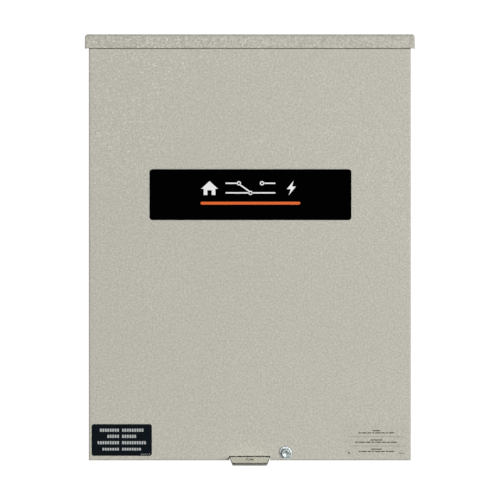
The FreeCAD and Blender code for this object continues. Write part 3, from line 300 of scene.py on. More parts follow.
def woven_tape(name, colour):
    """Glass-cloth winding tape, in overlapping turns."""
    f = Finish(name, colour, 0.5)
    laps = f.waves(0.0065, "Z")
    weave = f.math("MULTIPLY", f.waves(0.0007, "Z"), f.waves(0.0007, "DIAGONAL"))
    f.mottle(f.math("ADD", f.math("MULTIPLY", laps, 0.6), f.math("MULTIPLY", weave, 0.4)), 0.18)
    f.bump(f.math("ADD", laps, f.math("MULTIPLY", weave, 0.3)), 0.25 * MM, strength=0.6)
    return f.material


def solder_mask(name, colour):
    """Circuit board: straight copper runs show as paler lines under the green mask.

    They change direction from block to block, and some blocks are filled with copper.
    """
    f = Finish(name, colour, 0.32)
    run_pitch, block_size = 1.6 * MM, 17 * MM
    blocks = f.cells(block_size, metric="CHEBYCHEV")
    upright, level = (f.ramp(f.waves(run_pitch, axis), 0.62, 0.74) for axis in ("X", "Z"))
    upright = f.math("MULTIPLY", upright, f.ramp(blocks, 0.44, 0.46, 1.0, 0.0))
    level = f.math("MULTIPLY", level, f.ramp(blocks, 0.52, 0.54))
    filled = f.math("MULTIPLY", f.ramp(blocks, 0.66, 0.67), 0.8)
    copper = f.math("MAXIMUM", filled, f.math("MAXIMUM", upright, level))
    f.paint(f.mix(copper, f.colour, tuple(min(1.0, c * 2.1 + 0.01) for c in colour)))
    f.bump(copper, 0.06 * MM, strength=0.5)
    f.rough(f.noise(0.004), 0.06)
    return f.material


def glazed(name, colour):
    """Glazed ceramic, glossy and faintly uneven."""
    f = Finish(name, colour, 0.2, Coat_Weight=0.5, Coat_Roughness=0.1)
    f.mottle(f.noise(0.004, detail=3.0), 0.05)
    f.bump(f.noise(0.002), 0.02 * MM, strength=0.3)
    return f.material


def clear_shell(name, colour):
    """Clear polycarbonate with a little moulding haze."""
    f = Finish(name, colour, 0.08, Transmission_Weight=1.0, IOR=1.58)
    haze = f.noise(0.006, detail=3.0)
    f.rough(haze, 0.05)
    f.bump(haze, 0.02 * MM, strength=0.2)
    return f.material


def insulation(name, colour):
    """PVC wire insulation, slightly waxy, with faint drawing lines."""
    f = Finish(name, colour, 0.38, Subsurface_Weight=0.05, Subsurface_Scale=0.001)
    f.mottle(f.noise(0.006, detail=3.0), 0.08)
    lines = f.noise(0.0005, detail=1.0)
    f.rough(lines, 0.06)
    f.bump(lines, 0.01 * MM, strength=0.3)
    return f.material


CREAM = (0.490, 0.475, 0.408)
# near black of the painted shade on the padlock tab's front edge
PAINTED_SHADE_DARK = (0.115, 0.118, 0.100)
COAT_GRAIN = 1.9 * MM
TAB_FRONT = cad_low.y + 1.3 * MM        # where the painted shade on the padlock tab's front edge starts
finishes = {
    "enclosure_paint": powder_coat("powder_coat", CREAM, 0.16, COAT_GRAIN),
    "zinc_steel": plated("zinc_plate", (0.74, 0.77, 0.80), 0.28),
    "galvanised_steel": galvanised("galvanised_steel", (0.62, 0.64, 0.66)),
    "nameplate_ink": vinyl("black_vinyl", (0.0006, 0.0006, 0.0007)),
    "load_label_ink": vinyl("blue_black_vinyl", (0.006, 0.009, 0.012)),
    "clear_label": powder_coat("filmed_powder_coat", tuple(c * 0.97 for c in CREAM), 0.15, COAT_GRAIN),
    "diagram_paper": paper("diagram_paper", (0.80, 0.79, 0.75)),
    "moulded_base": moulded("thermoset_moulding", (0.030, 0.027, 0.026), 0.52, grain=0.0016),
    "white_nylon": moulded("white_nylon", (0.72, 0.71, 0.66), 0.42, spread=0.05),
    "insulated_shaft": vulcanised_fibre("glass_polyester", (0.36, 0.075, 0.045)),
    "copper": plated("drawn_copper", (0.86, 0.46, 0.30), 0.30, (12.0, 12.0, 1.0)),
    "silver_contact": turned("silver_alloy", (0.86, 0.85, 0.82), 0.3),
    "red_grip": moulded("red_moulding", (0.50, 0.022, 0.015), 0.3, spread=0.06),
    "lug_aluminium": plated("tinned_aluminium", (0.78, 0.79, 0.80), 0.34, (14.0, 1.0, 1.0)),
    "arc_fibre": vulcanised_fibre("vulcanised_fibre", (0.26, 0.085, 0.05)),
    "arc_steel": plated("arc_plate_steel", (0.55, 0.55, 0.56), 0.36, (14.0, 1.0, 1.0)),
    "coil_tape": woven_tape("winding_tape", (0.62, 0.42, 0.06)),
    "plunger_steel": turned("turned_steel", (0.58, 0.58, 0.60), 0.26),
    "black_plastic": moulded("black_moulding", (0.018, 0.018, 0.019), 0.45),
    "circuit_board": solder_mask("solder_mask", (0.008, 0.085, 0.030)),
    "component_plastic": moulded("component_case", (0.010, 0.030, 0.10), 0.35),
    "green_plastic": moulded("green_moulding", (0.012, 0.19, 0.075), 0.4),
    "clear_plastic": clear_shell("clear_polycarbonate", (0.93, 0.95, 0.96)),
    "fuse_ceramic": glazed("fuse_ceramic", (0.74, 0.72, 0.66)),
    "brass_clip": turned("plated_brass", (0.80, 0.64, 0.34), 0.28),
    "yellow_wire": insulation("yellow_insulation", (0.72, 0.48, 0.02)),
    "red_wire": insulation("red_insulation", (0.45, 0.015, 0.012)),
    "grey_wire": insulation("grey_insulation", (0.10, 0.12, 0.16)),
    "white_wire": insulation("white_insulation", (0.70, 0.70, 0.68)),
}
# looks of pieces that differ from their slot's own look
laminations = plated("laminations", (0.20, 0.20, 0.22), 0.42, (1.0, 1.0, 30.0))
epoxy = moulded("epoxy", (0.012, 0.012, 0.013), 0.5, grain=0.0005)
can_sleeve = moulded("can_sleeve", (0.010, 0.020, 0.055), 0.35, spread=0.05)
tan_ceramic = moulded("tan_ceramic", (0.36, 0.22, 0.10), 0.45, grain=0.0004)
ferrule_blue = moulded("ferrule_blue", (0.015, 0.06, 0.22), 0.4, spread=0.05)
enamel = turned("enamelled_wire", (0.50, 0.17, 0.06), 0.28, size=0.0009)
red_lens = moulded("red_lens", (0.60, 0.015, 0.01), 0.15, spread=0.04)
amber_lens = moulded("amber_lens", (0.75, 0.30, 0.01), 0.15, spread=0.04)
green_lens = moulded("green_lens", (0.02, 0.42, 0.05), 0.15, spread=0.04)
track_green = moulded("track_green", (0.030, 0.25, 0.085), 0.3, spread=0.08)
# cream coat whose frontmost edge is darkened with painted shade
tab_paint = powder_coat("powder_coat_front_shaded", CREAM, 0.16, COAT_GRAIN, shade_painted_past=TAB_FRONT)
bright_zinc = plated("bright_zinc", (0.64, 0.69, 0.70), 0.44)
# Pale colour on the padlock tab: painted highlight that lifts its upward face as if lit from above; its
# front edge also gets painted shade.
hasp_painted_highlight = plated("hasp_painted_highlight", (0.88, 0.88, 0.82), 0.30, shade_painted_past=TAB_FRONT)
dull_zinc = plated("dull_zinc", (0.40, 0.45, 0.44), 0.42)
# The hood's coat is the cover's cream darkened a little: painted shade, for a lip that catches less
# light than the cover.
hood_paint_shaded = powder_coat("powder_coat_hood_shaded", tuple(c * 0.965 for c in CREAM), 0.24, 2.3 * MM)
white_ink = ink("white_ink", (0.80, 0.81, 0.80))
label_ink = ink("label_ink", (0.42, 0.43, 0.43))
grey_ink = ink("grey_ink", (0.30, 0.31, 0.31))
orange_ink = ink("orange_ink", (0.72, 0.115, 0.008))
dark_ink = ink("dark_ink", (0.055, 0.053, 0.040))
rule_ink = ink("rule_ink", (0.20, 0.19, 0.16))
line_ink = ink("line_ink", (0.02, 0.02, 0.03))


def dress(node, material):
    """Gives a CAD node its one material."""
    nodes[node].data.materials.clear()
    nodes[node].data.materials.append(material)


for node_name, slot_name in slot_of_node.items():
    dress(node_name, finishes[slot_name])
dress("drip_hood", hood_paint_shaded)
dress("enclosure_body", tab_paint)
dress("hasp_plate", hasp_painted_highlight)
dress("screw_washer", bright_zinc)
dress("cover_screw", dull_zinc)


# ---------------------------------------------------------------- mesh helpers
SMOOTH_UNDER = math.radians(35)         # edges that bend less than this are shaded smooth


def piece(name, bm, material, body):
    """Turns a finished bmesh, built in the row frame, into a piece that rides on a body."""
    bmesh.ops.recalc_face_normals(bm, faces=bm.faces)
    mesh = bpy.data.meshes.new(name)
    bm.to_mesh(mesh)
    bm.free()
    mesh.polygons.foreach_set("use_smooth", [True] * len(mesh.polygons))
    mesh.set_sharp_from_angle(angle=SMOOTH_UNDER)
    obj = bpy.data.objects.new(name, mesh)
    bpy.context.scene.collection.objects.link(obj)
    mesh.materials.append(material)
    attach(obj, body)
    return obj


def extrude_outline(bm, outline, sweep):
    """Closed prism from a flat outline of 3-D points and a sweep vector."""
    low = [bm.verts.new(p) for p in outline]
    high = [bm.verts.new(Vector(p) + sweep) for p in outline]
    bm.faces.new(low)
    bm.faces.new(list(reversed(high)))
    for k in range(len(outline)):
        j = (k + 1) % len(outline)
        bm.faces.new((low[k], high[k], high[j], low[j]))


def rounded_outline(x0, x1, z0, z1, r, steps=5):
    """Corner points of a rounded rectangle in the XZ plane."""
    points = []
    quarters = ((x1 - r, z1 - r, 0), (x0 + r, z1 - r, 90), (x0 + r, z0 + r, 180), (x1 - r, z0 + r, 270))
    for cx, cz, start in quarters:
        for k in range(steps + 1):
            a = math.radians(start + 90 * k / steps)
            points.append((cx + r * math.cos(a), cz + r * math.sin(a)))
    return points


def printed(bm, outline, y, towards=-1.0):
    """One printed mark: a very thin prism on a label face at y."""
    extrude_outline(bm, [Vector((x, y, z)) for x, z in outline], Vector((0, towards * INK, 0)))


def bar(bm, cx, cz, width, height, y, towards=-1.0, r=None):
    """Printed bar about a centre, with nearly round ends unless a corner radius is given."""
    r = min(width, height) * 0.45 if r is None else r
    dx, dz = width / 2, height / 2
    printed(bm, rounded_outline(cx - dx, cx + dx, cz - dz, cz + dz, r), y, towards)


def line(bm, start, end, width, y, towards=-1.0):
    """Straight printed stroke with square ends."""
    a, b = Vector(start), Vector(end)
    side = (b - a).normalized().orthogonal() * (width / 2)
    printed(bm, [a + side, b + side, b - side, a - side], y, towards)


def band(bm, rows):
    """Closed ring of quads between four rows of corners, which stand in pairs across its section."""
    count = len(rows[0])
    for k in range(count):
        j = (k + 1) % count
        for a, b in ((0, 1), (1, 3), (3, 2), (2, 0)):
            bm.faces.new((rows[a][k], rows[a][j], rows[b][j], rows[b][k]))


def ring_mark(bm, cx, cz, r_out, r_in, y, towards=-1.0, steps=32):
    """Printed ring, built as a band of quads with a thin wall."""
    angles = [2 * math.pi * k / steps for k in range(steps)]
    rows = [[bm.verts.new((cx + r * math.cos(a), y + depth, cz + r * math.sin(a))) for a in angles]
            for depth in (0.0, towards * INK) for r in (r_out, r_in)]
    band(bm, rows)


# ---------------------------------------------------------------- refined CAD parts
WELD = 0.001 * MM               # corners closer than this are one corner
FLAT = math.radians(0.5)        # faces that bend less than this are one face
SHARP = math.radians(40)        # edges that bend more than this are rolled


def welded(node):
    """A CAD node's mesh as a bmesh, with its split corners joined and its flat faces whole."""
    bm = bmesh.new()
    bm.from_mesh(nodes[node].data)
    bmesh.ops.remove_doubles(bm, verts=bm.verts, dist=WELD)
    bmesh.ops.dissolve_limit(bm, angle_limit=FLAT, verts=bm.verts, edges=bm.edges)
    return bm


def solids(bm):
    """The closed solids of a mesh, each as its list of vertices."""
    seen, groups = set(), []
    for first in bm.verts:
        if first in seen:
            continue
        seen.add(first)
        group, ahead = [], [first]
        while ahead:
            vert = ahead.pop()
            group.append(vert)
            for edge in vert.link_edges:
                other = edge.other_vert(vert)
                if other not in seen:
                    seen.add(other)
                    ahead.append(other)
        groups.append(group)
    return groups


def corners(verts):
    """Lowest and highest corner of some vertices."""
    low = Vector([min(v.co[k] for v in verts) for k in range(3)])
    high = Vector([max(v.co[k] for v in verts) for k in range(3)])
    return low, high


def solid_boxes(node):
    """Corners of each solid of a CAD node, in a fixed order."""
    bm = welded(node)
    boxes = sorted((corners(group) for group in solids(bm)), key=lambda pair: tuple(pair[0]))
    bm.free()
    return boxes


def rolled(bm, width):
    """Gives sharp edges a small radius, as moulds, punches and tumbling leave."""
    sharp = [e for e in bm.edges if e.is_manifold and e.calc_face_angle() > SHARP]
    bmesh.ops.bevel(bm, geom=sharp, offset=width, segments=2, profile=0.6, affect="EDGES",
                    clamp_overlap=False)


def refined(node, width, parts=()):
    """Pieces that stand for a CAD node, with rolled edges.

    Each part is (name, material, test), and takes the solids whose corners pass its test first.
    """
    parts = parts or ((node + "_finished", nodes[node].data.materials[0], lambda low, high: True),)
    whole = welded(node)
    for index, (name, material, _) in enumerate(parts):
        bm = whole.copy()
        others = []
        for group in solids(bm):
            low, high = corners(group)
            if index != next(k for k, part in enumerate(parts) if part[2](low, high)):
                others += group
        bmesh.ops.delete(bm, geom=others, context="VERTS")
        rolled(bm, width)
        obj = piece(name, bm, material, body_of_node[node])
        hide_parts(node)
    whole.free()


def block(bm, low, high):
    """Box between two corners."""
    outline = [Vector((x, low[1], z)) for x, z in
               ((low[0], low[2]), (high[0], low[2]), (high[0], high[2]), (low[0], high[2]))]
    extrude_outline(bm, outline, Vector((0, high[1] - low[1], 0)))


def lathe(bm, profile, origin, axis, closed=False, steps=40):
    """Turned solid: the profile is (radius, distance along the axis); a closed one makes a ring."""
    axis = Vector(axis).normalized()
    u = axis.orthogonal().normalized()
    v = axis.cross(u)
    spokes = [u * math.cos(2 * math.pi * k / steps) + v * math.sin(2 * math.pi * k / steps)
              for k in range(steps)]
    rows = [[bm.verts.new(Vector(origin) + axis * along + spoke * r) for spoke in spokes]
            for r, along in profile]
    pairs = list(zip(rows, rows[1:])) + ([(rows[-1], rows[0])] if closed else [])
    for a, b in pairs:
        for k in range(steps):
            j = (k + 1) % steps
            bm.faces.new((a[k], a[j], b[j], b[k]))
    if not closed:
        bm.faces.new(rows[0])
        bm.faces.new(list(reversed(rows[-1])))


# node to the width of its rolled edges, in millimetres
ROLLED_EDGES = {
    "mech_base": 0.35, "arc_chute_frames": 0.25, "arc_chute_plates": 0.15, "solenoid_frame": 0.3,
    "utility_lugs": 0.35, "generator_lugs": 0.35, "load_lugs": 0.35, "relay_socket": 0.35,
    "fuse_block": 0.35, "terminal_strip": 0.3, "neutral_insulator": 0.35, "rotor_crank": 0.3,
    "handle_lever": 0.4, "limit_switches": 0.15, "coil_bobbins": 0.25, "utility_contacts": 0.4,
    "generator_contacts": 0.4, "load_buses": 0.35, "neutral_and_ground_bars": 0.35,
    "board_terminals": 0.2, "solenoid_plunger": 0.35, "bearing_bushes": 0.3, "cover_nut": 0.3,
    "cover_screw": 0.18, "lug_set_screws": 0.2, "knockout_slugs": 0.15, "contact_arms": 0.3,
}


# ---------------------------------------------------------------- coils, relay and fuses
def ridged(r_out, r_in, start, end, pitch, depth):
    """Closed profile of a winding whose turns stand out as ridges."""
    turns = int(abs(end - start) / pitch)
    pitch = (end - start) / turns
    profile = [(r_in, start), (r_out - depth, start)]
    for k in range(turns):
        base = start + pitch * k
        profile += [(r_out - 0.25 * depth, base + 0.2 * pitch), (r_out, base + 0.5 * pitch),
                    (r_out - 0.25 * depth, base + 0.8 * pitch), (r_out - depth, base + pitch)]
    return profile + [(r_in, end)]


def solenoid_windings():
    """Taped windings with ridged turns, in place of the plain ones."""
    wall, pitch, depth = 7.6 * MM, 1.5 * MM, 0.45 * MM
    bm = bmesh.new()
    for low, high in solid_boxes("coil_windings"):
        centre = (low + high) / 2
        r = (high.x - low.x) / 2
        profile = ridged(r, r - wall, low.z, high.z, pitch, depth)
        lathe(bm, profile, (centre.x, centre.y, 0), (0, 0, 1), closed=True)
    obj = piece("coil_windings_wound", bm, finishes["coil_tape"], "enclosure")
    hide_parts("coil_windings")


def relay_coil():
    """Enamelled winding in place of the relay's plain coil; the yoke keeps its CAD shape."""
    def is_coil(low, high):
        return high.x - low.x > 17 * MM and high.z - low.z < 19 * MM

    low, high = next(pair for pair in solid_boxes("relay_magnet") if is_coil(*pair))
    centre = (low + high) / 2
    bm = bmesh.new()
    profile = ridged((high.x - low.x) / 2, 3.6 * MM, low.y, high.y, 0.9 * MM, 0.3 * MM)
    lathe(bm, profile, (centre.x, 0, centre.z), (0, 1, 0), closed=True, steps=32)
    coil = piece("relay_coil", bm, enamel, "enclosure")
    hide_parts("relay_magnet")
    bm = welded("relay_magnet")
    doomed = [v for group in solids(bm) if is_coil(*corners(group)) for v in group]
    bmesh.ops.delete(bm, geom=doomed, context="VERTS")
    rolled(bm, 0.2 * MM)
    yoke = piece("relay_yoke", bm, finishes["zinc_steel"], "enclosure")
    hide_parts("relay_magnet")


def cartridge_fuses():
    """Ceramic barrels between plated end caps with rolled rims."""
    barrels, caps = bmesh.new(), bmesh.new()
    cap_length, groove, hidden = 8.2 * MM, 0.25 * MM, 4 * MM
    for low, high in solid_boxes("fuses"):
        centre = (low + high) / 2
        origin, r = (centre.x, centre.y, 0), (high.x - low.x) / 2
        barrel = [(0.91 * r, low.z + hidden), (0.91 * r, high.z - hidden)]
        lathe(barrels, barrel, origin, (0, 0, 1))
        profile = [(r - 0.9 * MM, 0.0), (r - 0.3 * MM, 0.12 * MM), (r, 0.7 * MM),
                   (r, cap_length - 1.9 * MM), (r - groove, cap_length - 1.6 * MM),
                   (r - groove, cap_length - 1.1 * MM), (r, cap_length - 0.8 * MM),
                   (r - 0.1 * MM, cap_length), (0.9 * r, cap_length)]
        for end, inwards in ((low.z, 1), (high.z, -1)):
            cap = [(radius, end + inwards * along) for radius, along in profile]
            lathe(caps, cap, origin, (0, 0, 1))
    obj = piece("fuse_barrels", barrels, finishes["fuse_ceramic"], "enclosure")
    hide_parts("fuses")
    obj = piece("fuse_caps", caps, finishes["brass_clip"], "enclosure")
    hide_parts("fuses")


# ---------------------------------------------------------------- control board
def board_parts():
    """The board's solids, told apart by their size: relays, transformer, chips, lamps and the rest."""
    def depth(low, high):
        return high.y - low.y

    def width(low, high):
        return high.x - low.x

    def is_relay(low, high):
        return 12 * MM < width(low, high) < 14 * MM and depth(low, high) > 15 * MM

    def is_core(low, high):
        return width(low, high) > 30 * MM

    def is_coil(low, high):
        return 25.5 * MM < width(low, high) < 30 * MM and depth(low, high) > 5 * MM

    def is_can(low, high):
        return width(low, high) < 11 * MM and depth(low, high) > 15 * MM

    def is_lamp(low, high):
        return width(low, high) < 4 * MM

    def red_lamp(low, high):
        return is_lamp(low, high) and low.x > 22 * MM

    def amber_lamp(low, high):
        return is_lamp(low, high) and low.x > 14 * MM

    def is_chip(low, high):
        return depth(low, high) < 3.5 * MM and width(low, high) > 7.5 * MM

    refined("board_components", 0.2 * MM, (
        ("board_relays", finishes["component_plastic"], is_relay),
        ("board_core", laminations, is_core),
        ("board_coil", finishes["coil_tape"], is_coil),
        ("board_cans", can_sleeve, is_can),
        ("board_lamp_red", red_lens, red_lamp),
        ("board_lamp_amber", amber_lens, amber_lamp),
        ("board_lamps_green", green_lens, is_lamp),
        ("board_chips", epoxy, lambda low, high: True)))

    boxes = solid_boxes("board_components")
    tests = {"relays": is_relay, "cans": is_can, "chips": is_chip, "core": is_core}
    return {group: [pair for pair in boxes if test(*pair)] for group, test in tests.items()}


def chip_leads(chips, board_y):
    """Formed leads along both long sides of each chip, and all four sides of the square one."""
    bm = bmesh.new()
    thin, out, foot, pitch, half = 0.3 * MM, 1.5 * MM, 0.9 * MM, 1.6 * MM, 0.3 * MM
    bare_end = 1.5 * MM
    for low, high in chips:
        wide, tall = high.x - low.x, high.z - low.z
        middle = (low.y + board_y) / 2
        sides = []
        if wide >= tall:
            sides += [("x", low.z, -1), ("x", high.z, 1)]
        if tall >= wide:
            sides += [("z", low.x, -1), ("z", high.x, 1)]
        for along, edge, way in sides:
            start, end = (low.x, high.x) if along == "x" else (low.z, high.z)
            count = int((end - start - bare_end) / pitch)
            first = (start + end) / 2 - pitch * (count - 1) / 2
            for k in range(count):
                here = first + pitch * k
                for a, b, y0, y1 in ((0.0, out, middle - thin, middle),
                                     (out - thin, out, middle, board_y),
                                     (out - thin, out + foot, board_y - thin, board_y)):
                    reach = sorted((edge + way * a, edge + way * b))
                    if along == "x":
                        block(bm, (here - half, y0, reach[0]), (here + half, y1, reach[1]))
                    else:
                        block(bm, (reach[0], y0, here - half), (reach[1], y1, here + half))
    piece("board_chip_leads", bm, bright_zinc, "enclosure")


def can_tops(cans):
    """Bare aluminium top of each capacitor, scored with a cross, inside the sleeve's lip."""
    tops, scores = bmesh.new(), bmesh.new()
    sunk, proud, score_width = 0.4 * MM, 0.04 * MM, 0.35 * MM
    for low, high in cans:
        centre, r = (low + high) / 2, (high.x - low.x) / 2
        face = low.y - proud
        lathe(tops, [(0.84 * r, low.y + sunk), (0.84 * r, face)], (centre.x, 0, centre.z), (0, 1, 0))
        arm = 0.6 * r
        for dx, dz in ((arm, 0), (0, arm)):
            start, end = (centre.x - dx, centre.z - dz), (centre.x + dx, centre.z + dz)
            line(scores, start, end, score_width, face)
    piece("board_can_tops", tops, bright_zinc, "enclosure")
    piece("board_can_scores", scores, line_ink, "enclosure")


def small_parts(board_low, board_high):
    """Chip resistors and capacitors on a loose grid, wherever the board is clear.

    A draw for each place of the grid decides its kind: capacitor, resistor or nothing.
    """
    taken = [pair for node in ("board_components", "board_terminals", "test_button")
             for pair in solid_boxes(node)]
    draw = random.Random(11)
    y = board_low.y
    dark, tan, ends = bmesh.new(), bmesh.new(), bmesh.new()
    step_x, step_z, margin = 4.6 * MM, 3.9 * MM, 2.4 * MM
    first, unused = 8 * MM, 14 * MM         # bare edge before the grid, and both edges together
    capacitor_below, part_below = 0.25, 0.62
    resistor, capacitor = (1.6 * MM, 0.8 * MM, 0.55 * MM), (1.1 * MM, 0.7 * MM, 0.8 * MM)
    cap, proud = 0.35 * MM, 0.03 * MM       # soldered end: half its length, and how far it stands out
    columns = int((board_high.x - board_low.x - unused) / step_x)
    rows = int((board_high.z - board_low.z - unused) / step_z)
    for row in range(rows):
        for column in range(columns):
            x = board_low.x + first + step_x * column + draw.uniform(-0.3, 0.3) * MM
            z = board_low.z + first + step_z * row
            kind, upright = draw.random(), draw.random() < 0.5
            clear = all(x < low.x - margin or x > high.x + margin
                        or z < low.z - margin or z > high.z + margin for low, high in taken)
            if kind > part_below or not clear:
                continue
            long, short, tall = resistor if kind > capacitor_below else capacitor
            dx, dz = (short, long) if upright else (long, short)
            bodies = dark if kind > capacitor_below else tan
            inner_x, inner_z = (dx, dz - cap) if upright else (dx - cap, dz)
            block(bodies, (x - inner_x, y - tall, z - inner_z), (x + inner_x, y, z + inner_z))
            top = y - tall - proud
            for side in (-1, 1):
                if upright:
                    reach = sorted((z + side * (dz - cap), z + side * (dz + cap)))
                    block(ends, (x - dx - proud, top, reach[0]), (x + dx + proud, y, reach[1]))
                else:
                    reach = sorted((x + side * (dx - cap), x + side * (dx + cap)))
                    block(ends, (reach[0], top, z - dz - proud), (reach[1], y, z + dz + proud))
    piece("board_resistors", dark, epoxy, "enclosure")
    piece("board_capacitors", tan, tan_ceramic, "enclosure")
    piece("board_solder_ends", ends, bright_zinc, "enclosure")


def board_tracks(groups, board_low):
    """Wide power tracks from the terminals to the relays, and printed outlines round the parts."""
    y = board_low.y
    tracks, outlines = bmesh.new(), bmesh.new()
    track_width, pad_out, pad_in = 1.3 * MM, 0.65 * MM, 0.2 * MM
    terminals_top = max(high.z for _, high in solid_boxes("board_terminals"))
    for k, (low, high) in enumerate(groups["relays"]):
        for side in (-1, 1):
            x = (low.x + high.x) / 2 + side * 3.4 * MM
            bend = terminals_top + (14 - 2.4 * k - 1.2 * side) * MM
            foot = x - 9 * MM + 2 * k * MM
            points = [(foot, terminals_top), (foot, bend - 4 * MM), (x, bend + 3 * MM), (x, low.z)]
            for a, b in zip(points, points[1:]):
                line(tracks, a, b, track_width, y)
                ring_mark(tracks, b[0], b[1], pad_out, pad_in, y, steps=14)
    gap, stroke = 1.3 * MM, 0.25 * MM
    for low, high in groups["relays"] + groups["core"] + groups["chips"]:
        ring = [(low.x - gap, low.z - gap), (high.x + gap, low.z - gap), (high.x + gap, high.z + gap),
                (low.x - gap, high.z + gap)]
        for a, b in zip(ring, ring[1:] + ring[:1]):
            line(outlines, a, b, stroke, y)
    for low, high in groups["cans"]:
        centre, r = (low + high) / 2, (high.x - low.x) / 2
        ring_mark(outlines, centre.x, centre.z, r + 1.0 * MM, r + 0.75 * MM, y)
    piece("board_tracks", tracks, track_green, "enclosure")
    piece("board_outlines", outlines, white_ink, "enclosure")


def board_details():
    """Everything on the control board, from its packages to the printing."""
    board_low, board_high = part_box("control_board")
    groups = board_parts()
    chip_leads(groups["chips"], board_low.y)
    can_tops(groups["cans"])
    small_parts(board_low, board_high)
    board_tracks(groups, board_low)


# ---------------------------------------------------------------- harness dressing
# bundles of the left gutter: height, and the sides of the bundle as x0, x1, y0, y1, in millimetres
TIES = ((62.0, -168.0, -150.9, -46.5, -36.5), (-23.0, -168.0, -142.9, -46.5, -36.5),
        (-86.0, -168.0, -143.9, -39.5, -36.5), (-132.0, -168.0, -143.9, -39.5, -36.5))


def cable_ties():
    """Nylon ties round the wires of the gutter, each with its square head and cut tail."""
    bm = bmesh.new()
    thick, half = 0.9, 1.8                              # strap, in millimetres
    head_half, head_tall, head_deep = 2.6, 2.7, 3.4
    for z, x0, x1, y0, y1 in TIES:
        outer = rounded_outline(x0 - thick, x1 + thick, y0 - thick, y1 + thick, 1.6)
        inner = rounded_outline(x0, x1, y0, y1, 0.8)
        rows = [[bm.verts.new((px * MM, py * MM, (z + side * half) * MM)) for px, py in ring]
                for ring in (outer, inner) for side in (-1, 1)]
        band(bm, rows)
        x, y = x1 - 4.0, y0 - thick                     # middle of the head, on the strap's face
        block(bm, ((x - head_half) * MM, (y - head_deep) * MM, (z - head_tall) * MM),
              ((x + head_half) * MM, (y + 0.3) * MM, (z + head_tall) * MM))
        block(bm, ((x - 0.6) * MM, (y - 6.0) * MM, (z - half) * MM),
              ((x + 0.5) * MM, (y - 3.2) * MM, (z + half) * MM))
    rolled(bm, 0.15 * MM)
    piece("cable_ties", bm, finishes["white_nylon"], "enclosure")


def ferrules():
    """Plastic collar on each wire where it enters the board's terminals."""
    bm = bmesh.new()
    low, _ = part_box("board_terminals")
    entry = Vector((0, -40.6 * MM, low.z + 0.6 * MM))
    profile = [(1.3 * MM, 0.0), (1.55 * MM, 0.3 * MM), (1.65 * MM, 3.0 * MM), (2.0 * MM, 6.5 * MM),
               (1.9 * MM, 7.0 * MM), (1.3 * MM, 7.0 * MM)]
    control_wires, neutral_wire = [-9.5 + 5.0 * k for k in range(6)], 48.5      # in millimetres
    for x in control_wires + [neutral_wire]:
        lathe(bm, profile, entry + Vector((x * MM, 0, 0)), (0, 0.16, -1), steps=20)
    piece("wire_ferrules", bm, ferrule_blue, "enclosure")


for node_name, roll in ROLLED_EDGES.items():
    refined(node_name, roll * MM)
solenoid_windings()
relay_coil()
cartridge_fuses()
board_details()
cable_ties()
ferrules()


# ---------------------------------------------------------------- printed labels
def nameplate_marks():
    """Generic pictograms: a house, a changeover switch and a bolt, over a plain orange bar."""
    low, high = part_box("nameplate")
    cx, cz, y = (low.x + high.x) / 2, (low.z + high.z) / 2, low.y
    white = bmesh.new()
    house = [(-9.5, -1.0), (0.0, 7.6), (9.5, -1.0), (6.6, -1.0), (6.6, -8.0), (2.4, -8.0), (2.4, -2.6),
             (-2.4, -2.6), (-2.4, -8.0), (-6.6, -8.0), (-6.6, -1.0)]
    bolt = [(2.6, 8.0), (-5.2, -1.4), (-0.6, -1.4), (-3.0, -8.4), (5.2, 1.6), (0.8, 1.6)]
    up, stroke, ring = 7.6 * MM, 1.5 * MM, (2.4 * MM, 1.2 * MM)

    def at(px, pz):
        return cx + px * MM, cz + up + pz * MM

    for marks, dx in ((house, -46.0), (bolt, 46.0)):
        printed(white, [at(dx + px, pz) for px, pz in marks], y)
    sources, load = 5.2, -5.6               # heights of the switch's contacts
    for side in (-1, 1):
        ring_mark(white, *at(side * 13, sources), *ring, y)
        line(white, at(side * 15.6, sources), at(side * 28, sources), stroke, y)
    ring_mark(white, *at(0, load), *ring, y)
    line(white, at(-1.6, -3.6), at(-11.3, 3.2), stroke, y)
    line(white, at(2.8, load), at(28, load), stroke, y)
    line(white, at(-28, load), at(-2.8, load), stroke, y)
    piece("nameplate_symbols", white, white_ink, "cover")
    orange = bmesh.new()
    bar(orange, cx, cz - 9.6 * MM, 112 * MM, 3.2 * MM, y)
    piece("nameplate_stripe", orange, orange_ink, "cover")


def load_label_marks():
    """Four rows of blank blocks in place of the label's lines, and a small mark in the corner."""
    low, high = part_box("load_label")
    y, width, height = low.y, high.x - low.x, high.z - low.z
    cx = (low.x + high.x) / 2
    letter, gap = 2.0 * MM, 0.75 * MM
    space_at = 0.45                         # share of the row where one block is left out
    bm = bmesh.new()
    # each row: how far down the label it is, its share of the width, and its height in millimetres
    for down, share, tall in ((0.190, 0.71, 3.5), (0.385, 0.50, 3.5),
                              (0.585, 0.83, 3.5), (0.790, 0.66, 2.9)):
        z = high.z - down * height
        count = round(share * width / (letter + gap))
        x = cx - (count * (letter + gap) - gap) / 2
        for k in range(count):
            if k != round(count * space_at):
                bar(bm, x + letter / 2, z, letter, tall * MM, y, r=0.3 * MM)
            x += letter + gap
    piece("load_label_bars", bm, label_ink, "cover")
    small = bmesh.new()
    bar(small, high.x - 8.5 * MM, low.z + 1.9 * MM, 8.0 * MM, 0.5 * MM, y)
    bar(small, high.x - 2.6 * MM, low.z + 2.1 * MM, 1.4 * MM, 0.9 * MM, y)
    piece("load_label_small_mark", small, grey_ink, "cover")


